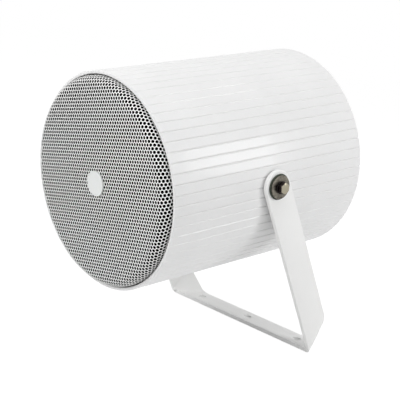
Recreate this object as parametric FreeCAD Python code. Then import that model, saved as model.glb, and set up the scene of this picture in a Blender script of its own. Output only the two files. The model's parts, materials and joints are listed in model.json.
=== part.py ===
"""Sound projector: a loudspeaker in a fluted round housing, hung in a folded flat-bar bracket.

Frame, in millimetres: the origin is the middle fixing hole on the underside of the bracket's
crossbar, +X runs along the pivot axis, +Z points away from the wall and the speaker looks
towards -Y.  Everything in the head is drawn in the head's own frame, whose origin is the
pivot and whose +Y runs from the front rim to the back, and is then tilted into place.
"""
import FreeCAD
import Part
import math
import os
from FreeCAD import Placement, Rotation, Vector

# Housing, a drawn aluminium tube
housing_radius = 100.0
housing_length = 232.8
housing_wall = 3.0
flute_count = 68
flute_depth = 1.0
flute_width = 1.5
channel_count = 4
channel_radius = 5.0
channel_bore_radius = 1.7
channel_slot = 1.8
channel_web = 6.0
channel_wall_gap = 1.6
channel_first_angle = 45.0

# Bracket, a flat bar folded twice at each corner
bar_width = 30.0
bar_thickness = 4.0
arm_lean = 32.7
arm_length = 186.5
fold_run = 23.0
fold_rise = 23.6
fold_lead = 5.2
base_fold_front = 4.3
base_fold_back = 9.0
arm_fold_front = 2.0
arm_fold_back = 8.0
fixing_hole_radius = 4.25
fixing_hole_pitch = 72.0

# Pivot bolts, M6
head_tilt = 11.2
pivot_bolt_radius = 3.0
pivot_clearance = 0.05
washer_clearance = 0.1
flat_washer_clearance = 0.2
bolt_head_flats = 10.0
bolt_head_height = 4.0
bolt_foot_share = 0.62
bolt_crown_share = 0.46
bolt_depth_inside = 18.0
face_gap = 0.05
inner_washer_radius = 11.0
inner_washer_thickness = 0.95
rubber_washer_radius = 12.0
rubber_washer_thickness = 1.6
flat_washer_radius = 11.6
flat_washer_thickness = 1.5
spring_washer_radius = 5.9
spring_washer_thickness = 1.6
spring_washer_split = 1.0
spring_split_angle = 70.0
pivot_block_width = 30.0
pivot_block_length = 34.0
pivot_block_depth = 12.0
pivot_block_round = 3.0

# Grille, a drawn perforated cap, and the plain badge on it
grille_gap = 1.0
grille_proud = 8.5
grille_edge_radius = 8.0
grille_thickness = 1.0
grille_hole_radius = 4.2
grille_hole_pitch = 13.4
grille_hole_rings = 6
badge_radius = 11.6
badge_thickness = 1.6
badge_rim_radius = 0.6
cloth_thickness = 0.6
cloth_gap = 0.2

# Baffle that closes the front of the tube
baffle_depth = 9.0
baffle_thickness = 6.0
baffle_clearance = 0.3
baffle_lip_height = 7.0
baffle_lip_thickness = 3.0

# Loudspeaker, nominal 165 mm
driver_margin = 13.0
flange_width = 11.0
gasket_width = 8.0
basket_sheet = 1.6
basket_step = 5.0
basket_shoulder_radius = 50.0
basket_shoulder_depth = 30.0
basket_rear_radius = 40.0
basket_depth = 45.0
basket_window_count = 6
basket_window_angle = 36.0
window_front_margin = 3.0
window_rear_margin = 2.0
window_inset = 4.0
gasket_thickness = 1.2
cone_depth = 24.0
cone_bow_depth = 2.5
cone_sheet = 0.8
surround_span = 12.0
surround_roll_radius = 5.0
surround_sheet = 0.7
surround_lip = 3.0
dust_cap_radius = 18.0
dust_cap_rise = 7.0
dust_cap_clearance = 0.1
coil_radius = 13.0
coil_wall = 0.4
coil_wire = 0.8
coil_height = 11.0
coil_gap = 0.5
spider_sheet = 0.5
spider_corrugations = 5
spider_amplitude = 1.4
spider_dip_share = 0.3
spider_flat = 8.0
spider_clearance = 0.5
top_plate_radius = 40.0
top_plate_thickness = 6.0
magnet_radius = 45.0
magnet_bore_radius = 20.0
magnet_thickness = 15.0
back_plate_radius = 42.0
back_plate_thickness = 6.0
back_plate_chamfer = 1.5
pole_vent_radius = 4.0
driver_screw_count = 4
driver_screw_inset = 4.0
terminal_strip_size = (22.0, 9.0, 2.0)
tag_size = (3.0, 15.0, 0.8)
tag_pitch = 12.0
tag_rise = 1.0

# Rear cover and what it carries
cover_recess = 2.0
cover_thickness = 4.0
cover_clearance = 0.4
cover_chamfer = 1.0
cover_rib_inset = 35.0
cover_rib_width = 3.0
cover_rib_height = 1.2
seal_thickness = 1.5
seal_width = 9.0
core_size = (48.0, 18.0, 40.0)
core_window = (8.0, 24.0)
bobbin_margin = 5.0
strap_sheet = 1.2
strap_foot = 12.0
foot_screw_radius = 1.6
foot_screw_grip = 0.1
foot_screw_head_radius = 3.2
foot_screw_head_height = 2.2
terminal_block_size = (34.0, 16.0, 18.0)
terminal_block_drop = 34.0
terminal_count = 4
terminal_well_radius = 2.4
terminal_well_depth = 9.6
terminal_wire_radius = 1.8
terminal_wire_depth = 7.2

# Cable gland, M20
gland_offset = -48.0
gland_thread_radius = 10.0
gland_bore_radius = 5.5
gland_flats = 24.0
gland_flange_height = 5.0
gland_nut_height = 14.0
gland_nut_gap = 0.2
gland_dome_height = 4.0
gland_dome_inset = 3.5
gland_collar_height = 9.0
gland_collar_inset = 1.0
gland_inside_length = 10.0
gland_seal_height = 2.4
gland_seal_inset = 1.2
locknut_flats = 26.0
locknut_height = 4.0

# M4 screws
screw_radius = 2.0
screw_head_radius = 3.9
screw_head_height = 2.6
screw_head_bevel = 0.9
screw_length = 14.0
screw_recess_radius = 1.4
screw_recess_depth = 1.4
screw_clearance = 0.25

# Places along the head's own axis
rim_y = -housing_length / 2
rear_y = housing_length / 2
bore_radius = housing_radius - housing_wall
grille_radius = bore_radius - grille_gap
grille_face_y = rim_y - grille_proud
baffle_y = rim_y + baffle_depth
flange_y = baffle_y - gasket_thickness - basket_sheet
cone_edge_y = flange_y
magnet_y = flange_y + basket_depth
channel_front_y = baffle_y + baffle_thickness
cover_y = rear_y - cover_recess
cover_inner_y = cover_y - cover_thickness
channel_rear_y = cover_inner_y - seal_thickness
channel_circle = bore_radius - channel_wall_gap - channel_radius
cover_rib_radius = bore_radius - cover_rib_inset

# Radii of the loudspeaker, from its rim inwards
flange_radius = bore_radius - driver_margin
driver_screw_circle = flange_radius - driver_screw_inset
baffle_opening_radius = flange_radius - gasket_width
flange_inner_radius = flange_radius - flange_width
cone_radius = flange_inner_radius - surround_span
former_radius = coil_radius + coil_wall
gap_radius = former_radius + coil_wire + coil_gap
spider_radius = basket_shoulder_radius - spider_clearance

# Places across the bracket, from the housing outwards
arm_inner_x = housing_radius + inner_washer_thickness + face_gap
bracket_half_width = arm_inner_x + bar_thickness
rubber_x = bracket_half_width + face_gap
flat_washer_x = rubber_x + rubber_washer_thickness
spring_washer_x = flat_washer_x + flat_washer_thickness
bolt_head_x = spring_washer_x + spring_washer_thickness

# The pivot in the part's frame
lean = math.radians(arm_lean)
arm_along = Vector(0, -math.sin(lean), math.cos(lean))
arm_across = Vector(0, math.cos(lean), math.sin(lean))
front_corner = Vector(0, -bar_width / 2, 0)
pivot = front_corner + arm_along * arm_length + arm_across * (bar_width / 2)
head_place = Placement(pivot, Rotation(Vector(1, 0, 0), head_tilt))

along_y = Vector(0, 1, 0)
along_x = Vector(1, 0, 0)


def export(name, shape):
    """Write one node's solids to its own file."""
    shape.exportStep("parts/" + name + ".step")


def export_in_head(name, shape):
    """Tilt a shape from the head's frame into the part's frame and write it."""
    placed = shape.copy()
    placed.Placement = head_place.multiply(placed.Placement)
    export(name, placed)


def disc(radius, y_from, y_to, x=0.0, z=0.0):
    """A cylinder along Y between two heights."""
    return Part.makeCylinder(radius, y_to - y_from, Vector(x, y_from, z), along_y)


def ring(outer, inner, y_from, y_to, x=0.0, z=0.0):
    """A washer or tube along Y."""
    return disc(outer, y_from, y_to, x, z).cut(disc(inner, y_from - 1, y_to + 1, x, z))


def side_disc(radius, x_from, x_to):
    """A cylinder along the pivot axis."""
    return Part.makeCylinder(radius, x_to - x_from, Vector(x_from, 0, 0), along_x)


def side_ring(outer, inner, x_from, x_to):
    """A washer on the pivot axis."""
    return side_disc(outer, x_from, x_to).cut(side_disc(inner, x_from - 1, x_to + 1))


def turned(points):
    """Revolve a closed outline of (radius, y) points about the head's axis."""
    corners = [Vector(radius, y, 0) for radius, y in points]
    face = Part.Face(Part.makePolygon(corners + corners[:1]))
    return face.revolve(Vector(0, 0, 0), along_y, 360)


def turned_edges(edges):
    """Revolve a closed outline of lines and arcs about the head's axis."""
    face = Part.Face(Part.Wire(edges))
    return face.revolve(Vector(0, 0, 0), along_y, 360)


def hexagon(flats, y_from, y_to, x=0.0, z=0.0):
    """A hexagonal prism along Y."""
    radius = flats / 2 / math.cos(math.radians(30))
    corners = []
    for side in range(7):
        angle = math.radians(60 * side)
        corners.append(Vector(x + radius * math.cos(angle), y_from, z + radius * math.sin(angle)))
    return Part.Face(Part.makePolygon(corners)).extrude(Vector(0, y_to - y_from, 0))


def circle_places(count, radius, first_angle):
    """Evenly spaced (x, z) places on a circle about the head's axis."""
    places = []
    for step in range(count):
        angle = math.radians(first_angle + 360.0 * step / count)
        places.append((radius * math.cos(angle), radius * math.sin(angle)))
    return places


def both_sides(shape):
    """The shape and its mirror image across the middle of the head."""
    return Part.makeCompound([shape, shape.mirror(Vector(0, 0, 0), along_x)])


def screw(x, z, head_y, towards_back, length=screw_length):
    """A pan-head screw whose head seats at head_y and whose shank runs into the head."""
    way = 1 if towards_back else -1
    seat = Vector(x, head_y, z)
    shank = Part.makeCylinder(screw_radius, length, seat, along_y * way)
    head = Part.makeCylinder(screw_head_radius, screw_head_height, seat, along_y * -way)
    head = head.makeChamfer(screw_head_bevel, [outer_rim(head, head_y - way * screw_head_height)])
    recess_start = seat - along_y * way * screw_head_height
    recess = Part.makeCylinder(screw_recess_radius, screw_recess_depth, recess_start, along_y * way)
    return head.fuse(shank).cut(recess)


def outer_rim(shape, y):
    """The round edge of a turned shape that lies at one height."""
    for edge in shape.Edges:
        box = edge.BoundBox
        if abs(box.YMin - y) < 1e-6 and abs(box.YMax - y) < 1e-6:
            return edge
    raise ValueError("no edge at that height")


def make_housing():
    """The tube: flat slats with a V groove between each two, and screw channels inside."""
    slat_angle = 2 * math.pi / flute_count
    groove_angle = flute_width / housing_radius
    corners = []
    for slat in range(flute_count):
        start = slat * slat_angle
        bottom = housing_radius - flute_depth
        corners.append(Vector(bottom * math.cos(start), rim_y, bottom * math.sin(start)))
        for angle in (start + groove_angle / 2, start + slat_angle - groove_angle / 2):
            x = housing_radius * math.cos(angle)
            z = housing_radius * math.sin(angle)
            corners.append(Vector(x, rim_y, z))
    outline = Part.Face(Part.makePolygon(corners + corners[:1]))
    tube = outline.extrude(Vector(0, housing_length, 0)).cut(disc(bore_radius, rim_y - 1, rear_y + 1))
    length = channel_rear_y - channel_front_y
    for x, z in circle_places(channel_count, channel_circle, channel_first_angle):
        turn = -math.degrees(math.atan2(z, x))
        web_length = bore_radius + housing_wall / 2 - channel_circle
        web = Part.makeBox(web_length, length, channel_web, Vector(0, channel_front_y, -channel_web / 2))
        slot_corner = Vector(-channel_radius - 1, channel_front_y - 1, -channel_slot / 2)
        slot = Part.makeBox(channel_radius + 1, length + 2, channel_slot, slot_corner)
        for piece in (web, slot):
            piece.rotate(Vector(0, 0, 0), along_y, turn)
            piece.translate(Vector(x, 0, z))
        tube = tube.fuse(disc(channel_radius, channel_front_y, channel_rear_y, x, z)).fuse(web)
        tube = tube.cut(disc(channel_bore_radius, channel_front_y - 1, channel_rear_y + 1, x, z)).cut(slot)
    bolt_hole = side_disc(pivot_bolt_radius + pivot_clearance, -housing_radius - 1, housing_radius + 1)
    return tube.cut(bolt_hole)


def make_grille():
    """The cap: a flat face, a rounded edge and a skirt, pierced in rings of six."""
    flat_radius = grille_radius - grille_edge_radius
    inner_edge = grille_edge_radius - grille_thickness
    bend_y = grille_face_y + grille_edge_radius
    back_y = grille_face_y + grille_thickness
    half = math.sqrt(0.5)
    wall_radius = grille_radius - grille_thickness
    outer_middle = Vector(flat_radius + grille_edge_radius * half, bend_y - grille_edge_radius * half, 0)
    inner_middle = Vector(flat_radius + inner_edge * half, bend_y - inner_edge * half, 0)
    outer_centre = Vector(0, grille_face_y, 0)
    outer_flat = Vector(flat_radius, grille_face_y, 0)
    outer_bend = Vector(grille_radius, bend_y, 0)
    outer_foot = Vector(grille_radius, baffle_y, 0)
    inner_foot = Vector(wall_radius, baffle_y, 0)
    inner_bend = Vector(wall_radius, bend_y, 0)
    inner_flat = Vector(flat_radius, back_y, 0)
    inner_centre = Vector(0, back_y, 0)
    edges = [
        Part.makeLine(outer_centre, outer_flat),
        Part.Arc(outer_flat, outer_middle, outer_bend).toShape(),
        Part.makeLine(outer_bend, outer_foot),
        Part.makeLine(outer_foot, inner_foot),
        Part.makeLine(inner_foot, inner_bend),
        Part.Arc(inner_bend, inner_middle, inner_flat).toShape(),
        Part.makeLine(inner_flat, inner_centre),
        Part.makeLine(inner_centre, outer_centre),
    ]
    cap = turned_edges(edges)
    holes = []
    row_height = grille_hole_pitch * math.sqrt(3) / 2
    for row in range(-grille_hole_rings, grille_hole_rings + 1):
        in_row = 2 * grille_hole_rings + 1 - abs(row)
        for place in range(in_row):
            x = (place - (in_row - 1) / 2) * grille_hole_pitch
            z = row * row_height
            if math.hypot(x, z) > badge_radius + grille_hole_radius - grille_thickness:
                holes.append(disc(grille_hole_radius, grille_face_y - 1, back_y + 1, x, z))
    return cap.cut(Part.makeCompound(holes))


def make_badge():
    """A plain disc with a softened rim, seated on the middle of the grille."""
    badge = disc(badge_radius, grille_face_y - badge_thickness, grille_face_y)
    return badge.makeFillet(badge_rim_radius, [outer_rim(badge, grille_face_y - badge_thickness)])


def make_cloth():
    """The black cloth that lies behind the pierced face."""
    front = grille_face_y + grille_thickness + cloth_gap
    return disc(grille_radius - grille_edge_radius, front, front + cloth_thickness)


def make_baffle():
    """The plate that carries the driver, with a raised lip that the grille is pushed over."""
    outer = bore_radius - baffle_clearance
    lip_outer = grille_radius - grille_thickness - baffle_clearance
    plate = ring(outer, baffle_opening_radius, baffle_y, baffle_y + baffle_thickness)
    lip = ring(lip_outer, lip_outer - baffle_lip_thickness, baffle_y - baffle_lip_height, baffle_y)
    plate = plate.fuse(lip)
    for x, z in circle_places(channel_count, channel_circle, channel_first_angle):
        plate = plate.cut(disc(screw_radius + screw_clearance, baffle_y - 1, channel_front_y + 1, x, z))
        relief = disc(screw_head_radius + screw_clearance, baffle_y - baffle_lip_height - 1, baffle_y, x, z)
        plate = plate.cut(relief)
    for x, z in circle_places(driver_screw_count, driver_screw_circle, 0):
        plate = plate.cut(disc(screw_radius, baffle_y - 1, channel_front_y + 1, x, z))
    return plate


def make_basket():
    """The pressed frame: flange, windowed cone, spider ledge and rear plate."""
    sheet = basket_sheet
    step_y = flange_y + sheet + basket_step
    shoulder_y = flange_y + basket_shoulder_depth
    rear = flange_y + basket_depth
    basket = turned([
        (flange_inner_radius, flange_y),
        (flange_radius, flange_y),
        (flange_radius, flange_y + sheet),
        (flange_inner_radius + sheet, flange_y + sheet),
        (flange_inner_radius + sheet, step_y),
        (basket_shoulder_radius + sheet, shoulder_y + sheet),
        (basket_rear_radius + sheet, shoulder_y + sheet),
        (basket_rear_radius + sheet, rear),
        (gap_radius, rear),
        (gap_radius, rear - sheet),
        (basket_rear_radius, rear - sheet),
        (basket_rear_radius, shoulder_y),
        (basket_shoulder_radius, shoulder_y),
        (flange_inner_radius, step_y),
    ])
    window_low = step_y + window_front_margin
    window_high = shoulder_y - window_rear_margin
    window_radius = basket_shoulder_radius - window_inset
    window_side = Part.Face(Part.makePolygon([
        Vector(window_radius, window_low, 0),
        Vector(flange_radius, window_low, 0),
        Vector(flange_radius, window_high, 0),
        Vector(window_radius, window_high, 0),
        Vector(window_radius, window_low, 0),
    ]))
    for window in range(basket_window_count):
        cutter = window_side.revolve(Vector(0, 0, 0), along_y, basket_window_angle)
        cutter.rotate(Vector(0, 0, 0), along_y, 360.0 * window / basket_window_count)
        basket = basket.cut(cutter)
    for x, z in circle_places(driver_screw_count, driver_screw_circle, 0):
        basket = basket.cut(disc(screw_radius + screw_clearance, flange_y - 1, flange_y + sheet + 1, x, z))
    return basket


def make_driver_gasket():
    """The ring between the driver's flange and the baffle."""
    gasket = ring(flange_radius, baffle_opening_radius, flange_y + basket_sheet, baffle_y)
    for x, z in circle_places(driver_screw_count, driver_screw_circle, 0):
        gasket = gasket.cut(disc(screw_radius + screw_clearance, flange_y, baffle_y + 1, x, z))
    return gasket


def make_surround():
    """The half-roll edge between cone and flange, with a glued lip on each side."""
    roll_middle = (cone_radius + flange_inner_radius) / 2
    roll = surround_roll_radius
    thin = roll - surround_sheet
    top = flange_y
    front = top - surround_sheet
    inner_lip = cone_radius - surround_lip
    outer_lip = flange_inner_radius + surround_lip
    edges = [
        Part.makeLine(Vector(inner_lip, top, 0), Vector(inner_lip, front, 0)),
        Part.makeLine(Vector(inner_lip, front, 0), Vector(roll_middle - roll, front, 0)),
        Part.Arc(
            Vector(roll_middle - roll, front, 0),
            Vector(roll_middle, front - roll, 0),
            Vector(roll_middle + roll, front, 0),
        ).toShape(),
        Part.makeLine(Vector(roll_middle + roll, front, 0), Vector(outer_lip, front, 0)),
        Part.makeLine(Vector(outer_lip, front, 0), Vector(outer_lip, top, 0)),
        Part.makeLine(Vector(outer_lip, top, 0), Vector(roll_middle + thin, top, 0)),
        Part.Arc(
            Vector(roll_middle + thin, top, 0),
            Vector(roll_middle, top - thin, 0),
            Vector(roll_middle - thin, top, 0),
        ).toShape(),
        Part.makeLine(Vector(roll_middle - thin, top, 0), Vector(inner_lip, top, 0)),
    ]
    return turned_edges(edges)


def cone_bow(y_shift):
    """The cone's bowed side from its edge to its neck, as one arc."""
    edge_point = Vector(cone_radius, cone_edge_y + y_shift, 0)
    neck_point = Vector(former_radius, cone_edge_y + cone_depth + y_shift, 0)
    middle = (edge_point + neck_point) * 0.5 + Vector(-cone_bow_depth, -cone_bow_depth, 0)
    return Part.Arc(edge_point, middle, neck_point).toShape()


def cone_front_y(radius):
    """The place of the cone's front side at a radius."""
    circle = cone_bow(0).Curve
    across = radius - circle.Center.x
    return circle.Center.y - math.sqrt(circle.Radius ** 2 - across ** 2)


def make_cone():
    """The paper cone, one sheet with a bowed side."""
    front = cone_bow(0)
    back = cone_bow(cone_sheet)
    neck_side = Part.makeLine(front.Vertexes[1].Point, back.Vertexes[1].Point)
    edge_side = Part.makeLine(back.Vertexes[0].Point, front.Vertexes[0].Point)
    return turned_edges([front, neck_side, back, edge_side])


def make_dust_cap():
    """The shallow dome that closes the middle of the cone, a slice of a hollow ball."""
    ball_radius = (dust_cap_radius ** 2 + dust_cap_rise ** 2) / (2 * dust_cap_rise)
    seat_y = cone_front_y(dust_cap_radius) - cone_sheet - dust_cap_clearance
    centre = Vector(0, seat_y - dust_cap_rise + ball_radius, 0)
    outer = Part.makeSphere(ball_radius, centre)
    inner = Part.makeSphere(ball_radius - cone_sheet, centre)
    slab = disc(dust_cap_radius, seat_y - dust_cap_rise - 1, seat_y + cone_sheet)
    return outer.cut(inner).common(slab)


def make_voice_coil_former():
    """The thin tube that joins the cone's neck to the winding."""
    top = cone_edge_y + cone_depth - 1
    bottom = magnet_y + (top_plate_thickness + coil_height) / 2
    return ring(former_radius, coil_radius, top, bottom)


def make_voice_coil():
    """The copper winding, centred in the gap of the top plate."""
    middle = magnet_y + top_plate_thickness / 2
    outer = former_radius + coil_wire
    return ring(outer, former_radius, middle - coil_height / 2, middle + coil_height / 2)


def make_spider():
    """The corrugated disc that centres the coil, glued to the ledge of the basket."""
    front_y = flange_y + basket_shoulder_depth - spider_sheet
    half_wave = (spider_radius - spider_flat - former_radius) / (2 * spider_corrugations)
    front = [Vector(former_radius, front_y, 0)]
    for fold in range(2 * spider_corrugations):
        lift = spider_amplitude if fold % 2 else -spider_amplitude * spider_dip_share
        front.append(Vector(former_radius + (fold + 0.5) * half_wave, front_y - lift, 0))
    front.append(Vector(spider_radius - spider_flat, front_y, 0))
    front.append(Vector(spider_radius, front_y, 0))
    back = [point + Vector(0, spider_sheet, 0) for point in reversed(front)]
    face = Part.Face(Part.makePolygon(front + back + front[:1]))
    return face.revolve(Vector(0, 0, 0), along_y, 360)


def make_top_plate():
    """The ring that leads the field to the coil."""
    return ring(top_plate_radius, gap_radius, magnet_y, magnet_y + top_plate_thickness)


def make_magnet():
    """The ferrite ring."""
    start = magnet_y + top_plate_thickness
    return ring(magnet_radius, magnet_bore_radius, start, start + magnet_thickness)


def make_back_plate():
    """The back plate with its pole piece, turned from one bar."""
    start = magnet_y + top_plate_thickness + magnet_thickness
    plate = disc(back_plate_radius, start, start + back_plate_thickness)
    plate = plate.makeChamfer(back_plate_chamfer, [outer_rim(plate, start + back_plate_thickness)])
    pole = disc(coil_radius - coil_gap, magnet_y, start + 1)
    vent = disc(pole_vent_radius, magnet_y - 1, start + back_plate_thickness + 1)
    return plate.fuse(pole).cut(vent)


def make_terminal_strip():
    """The small tag board riveted to the side of the basket."""
    width, height, thickness = terminal_strip_size
    y = flange_y + basket_shoulder_depth + basket_sheet
    z = basket_rear_radius + basket_sheet
    board = Part.makeBox(width, height, thickness, Vector(-width / 2, y, z))
    for side in (-1, 1):
        corner = Vector((side * tag_pitch - tag_size[0]) / 2, y + tag_rise, z + thickness)
        board = board.fuse(Part.makeBox(*tag_size, corner))
    return board


def make_driver_screws():
    """The screws that hold the driver on the baffle."""
    places = circle_places(driver_screw_count, driver_screw_circle, 0)
    return Part.makeCompound([screw(x, z, flange_y, True, baffle_thickness + 2) for x, z in places])


def tapping_screw(x, z, head_y, towards_back):
    """A screw that cuts its own thread: in the channel it is as thick as the channel's bore."""
    wall = ring(screw_radius + 1, channel_bore_radius, channel_front_y, channel_rear_y, x, z)
    return screw(x, z, head_y, towards_back).cut(wall)


def make_baffle_screws():
    """The screws that hold the baffle on the front ends of the channels."""
    places = circle_places(channel_count, channel_circle, channel_first_angle)
    return Part.makeCompound([tapping_screw(x, z, baffle_y, True) for x, z in places])


def make_rear_cover():
    """The cover plate, with a low round rib outside, the gland hole and the screw holes."""
    radius = bore_radius - cover_clearance
    cover = disc(radius, cover_inner_y, cover_y)
    cover = cover.makeChamfer(cover_chamfer, [outer_rim(cover, cover_y)])
    rib = ring(cover_rib_radius + cover_rib_width, cover_rib_radius, cover_y - 1, cover_y + cover_rib_height)
    cover = cover.fuse(rib)
    for x, z in circle_places(channel_count, channel_circle, channel_first_angle):
        cover = cover.cut(disc(screw_radius + screw_clearance, cover_inner_y - 1, cover_y + 2, x, z))
    gland_hole = disc(gland_thread_radius + screw_clearance, cover_inner_y - 1, cover_y + 2, 0, gland_offset)
    return cover.cut(gland_hole)


def make_rear_seal():
    """The flat foam ring between the cover and the ends of the channels."""
    radius = bore_radius - cover_clearance
    seal = ring(radius, radius - seal_width, channel_rear_y, cover_inner_y)
    for x, z in circle_places(channel_count, channel_circle, channel_first_angle):
        seal = seal.cut(disc(screw_radius + screw_clearance, channel_rear_y - 1, cover_inner_y + 1, x, z))
    return seal


def make_cover_screws():
    """The screws that hold the rear cover."""
    places = circle_places(channel_count, channel_circle, channel_first_angle)
    return Part.makeCompound([tapping_screw(x, z, cover_y, False) for x, z in places])


def make_transformer_core():
    """The laminated core: a block with two windows that the bobbin passes through."""
    width, depth, height = core_size
    window_width, window_height = core_window
    core = Part.makeBox(width, depth, height, Vector(-width / 2, cover_inner_y - depth, -height / 2))
    for side in (-1, 1):
        middle = side * width / 4
        corner = Vector(middle - window_width / 2, cover_inner_y - depth - 1, -window_height / 2)
        core = core.cut(Part.makeBox(window_width, depth + 2, window_height, corner))
    return core


def make_transformer_bobbin():
    """The winding on its bobbin: a block round the core's middle leg that fills the windows."""
    width, depth = core_size[:2]
    window_width, window_height = core_window
    reach = width / 4 + window_width / 2
    leg_reach = width / 4 - window_width / 2
    core_front = cover_inner_y - depth
    corner = Vector(-reach, core_front - bobbin_margin, -window_height / 2)
    leg_corner = Vector(-leg_reach, core_front, -window_height / 2 - 1)
    block = Part.makeBox(2 * reach, depth + bobbin_margin, window_height, corner)
    return block.cut(Part.makeBox(2 * leg_reach, depth, window_height + 2, leg_corner))


def make_transformer_strap():
    """The bent strap that clamps the core to the cover, with a foot on each side."""
    width, depth, height = core_size
    outer_half = width / 2 + strap_sheet
    top_y = cover_inner_y - depth - strap_sheet
    z_low = core_window[1] / 2
    strap_width = height / 2 - z_low
    corners = [
        Vector(-outer_half - strap_foot, cover_inner_y, z_low),
        Vector(-outer_half - strap_foot, cover_inner_y - strap_sheet, z_low),
        Vector(-outer_half, cover_inner_y - strap_sheet, z_low),
        Vector(-outer_half, top_y, z_low),
        Vector(outer_half, top_y, z_low),
        Vector(outer_half, cover_inner_y - strap_sheet, z_low),
        Vector(outer_half + strap_foot, cover_inner_y - strap_sheet, z_low),
        Vector(outer_half + strap_foot, cover_inner_y, z_low),
        Vector(width / 2, cover_inner_y, z_low),
        Vector(width / 2, top_y + strap_sheet, z_low),
        Vector(-width / 2, top_y + strap_sheet, z_low),
        Vector(-width / 2, cover_inner_y, z_low),
    ]
    strap = Part.Face(Part.makePolygon(corners + corners[:1])).extrude(Vector(0, 0, strap_width))
    hole_radius = foot_screw_radius + foot_screw_grip
    for side in (-1, 1):
        x = side * (outer_half + strap_foot / 2)
        z = z_low + strap_width / 2
        strap = strap.cut(disc(hole_radius, cover_inner_y - strap_sheet - 1, cover_inner_y + 1, x, z))
    return strap


def make_transformer_screws():
    """The short screws through the feet of the strap."""
    z = (core_window[1] + core_size[2]) / 4
    head_y = cover_inner_y - strap_sheet
    screws = []
    for side in (-1, 1):
        x = side * (core_size[0] / 2 + strap_sheet + strap_foot / 2)
        head = disc(foot_screw_head_radius, head_y - foot_screw_head_height, head_y, x, z)
        shank = disc(foot_screw_radius, head_y - foot_screw_head_height / 2, cover_inner_y, x, z)
        screws.append(head.fuse(shank))
    return Part.makeCompound(screws)


def make_terminal_block():
    """The screw terminal block under the transformer, with a wire hole and a screw well each."""
    width, depth, height = terminal_block_size
    low = -terminal_block_drop - height / 2
    x_shift = core_size[0] / 2 + strap_sheet + strap_foot
    corner = Vector(x_shift - width / 2, cover_inner_y - depth, low)
    block = Part.makeBox(width, depth, height, corner)
    pitch = width / terminal_count
    for place in range(terminal_count):
        x = corner.x + pitch * (place + 0.5)
        well = disc(terminal_well_radius, corner.y - 1, corner.y + terminal_well_depth, x, low + height / 2)
        wire_start = Vector(x, corner.y + terminal_wire_depth, low - 1)
        wire_hole = Part.makeCylinder(terminal_wire_radius, height + 2, wire_start, Vector(0, 0, 1))
        block = block.cut(well).cut(wire_hole)
    return block


def make_gland_body():
    """The threaded body of the gland: collar outside, hexagon flange on the cover, thread through it."""
    flange_end = cover_y + gland_flange_height
    collar_end = flange_end + gland_collar_height
    stem_start = cover_inner_y - gland_inside_length
    collar_radius = gland_thread_radius - gland_collar_inset
    body = hexagon(gland_flats, cover_y, flange_end, 0, gland_offset)
    collar = disc(collar_radius, flange_end - 1, collar_end, 0, gland_offset)
    stem = disc(gland_thread_radius, stem_start, cover_y + 1, 0, gland_offset)
    bore = disc(gland_bore_radius, stem_start - 1, collar_end + 1, 0, gland_offset)
    return body.fuse(collar).fuse(stem).cut(bore)


def make_gland_nut():
    """The domed cap nut of the gland."""
    start = cover_y + gland_flange_height + gland_nut_gap
    end = start + gland_nut_height
    dome_start = Vector(0, end - gland_dome_height, gland_offset)
    nut = hexagon(gland_flats, start, dome_start.y, 0, gland_offset)
    top_radius = gland_flats / 2 - gland_dome_inset
    dome = Part.makeCone(gland_flats / 2, top_radius, gland_dome_height, dome_start, along_y)
    collar_end = cover_y + gland_flange_height + gland_collar_height
    hollow_radius = gland_thread_radius - gland_collar_inset + pivot_clearance
    hollow = disc(hollow_radius, start - 1, collar_end + gland_seal_height, 0, gland_offset)
    bore = disc(gland_bore_radius, start, end + 1, 0, gland_offset)
    return nut.fuse(dome).cut(hollow).cut(bore)


def make_gland_seal():
    """The rubber ring that the cap nut presses on the cable."""
    start = cover_y + gland_flange_height + gland_collar_height
    outer = gland_thread_radius - gland_seal_inset
    return ring(outer, gland_bore_radius, start, start + gland_seal_height, 0, gland_offset)


def make_gland_locknut():
    """The thin nut that holds the gland from inside."""
    start = cover_inner_y - locknut_height
    nut = hexagon(locknut_flats, start, cover_inner_y, 0, gland_offset)
    return nut.cut(disc(gland_thread_radius + pivot_clearance, start - 1, cover_y, 0, gland_offset))


def make_pivot_block():
    """The saddle inside the tube wall that the pivot bolt screws into."""
    half_width = pivot_block_width / 2
    half_length = pivot_block_length / 2
    inner_face = bore_radius - pivot_block_depth
    corner = Vector(inner_face, -half_length, -half_width)
    block = Part.makeBox(2 * pivot_block_depth, pivot_block_length, pivot_block_width, corner)
    block = block.common(disc(bore_radius - pivot_clearance, -half_length, half_length))
    long_edges = []
    for edge in block.Edges:
        box = edge.BoundBox
        if abs(box.XMax - inner_face) < 1e-6 and box.YLength > 1:
            long_edges.append(edge)
    block = block.makeFillet(pivot_block_round, long_edges)
    return block.cut(side_disc(pivot_bolt_radius + pivot_clearance, 0, housing_radius))


def make_pivot_bolt():
    """The hexagon-head bolt, chamfered on top of its head."""
    head = hexagon(bolt_head_flats, 0, bolt_head_height)
    foot = bolt_head_flats * bolt_foot_share
    crown = bolt_head_flats * bolt_crown_share
    head = head.common(Part.makeCone(foot, crown, bolt_head_height, Vector(0, 0, 0), along_y))
    head.rotate(Vector(0, 0, 0), Vector(0, 0, 1), -90)
    head.translate(Vector(bolt_head_x, 0, 0))
    tip = bore_radius - bolt_depth_inside
    return head.fuse(side_disc(pivot_bolt_radius, tip, bolt_head_x + 1))


def make_spring_washer():
    """The split lock washer."""
    hole = pivot_bolt_radius + washer_clearance
    washer = side_ring(spring_washer_radius, hole, spring_washer_x, bolt_head_x)
    corner = Vector(spring_washer_x - 1, -spring_washer_split / 2, 0)
    split = Part.makeBox(spring_washer_thickness + 2, spring_washer_split, spring_washer_radius + 1, corner)
    split.rotate(Vector(spring_washer_x, 0, 0), along_x, spring_split_angle)
    return washer.cut(split)


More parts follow.
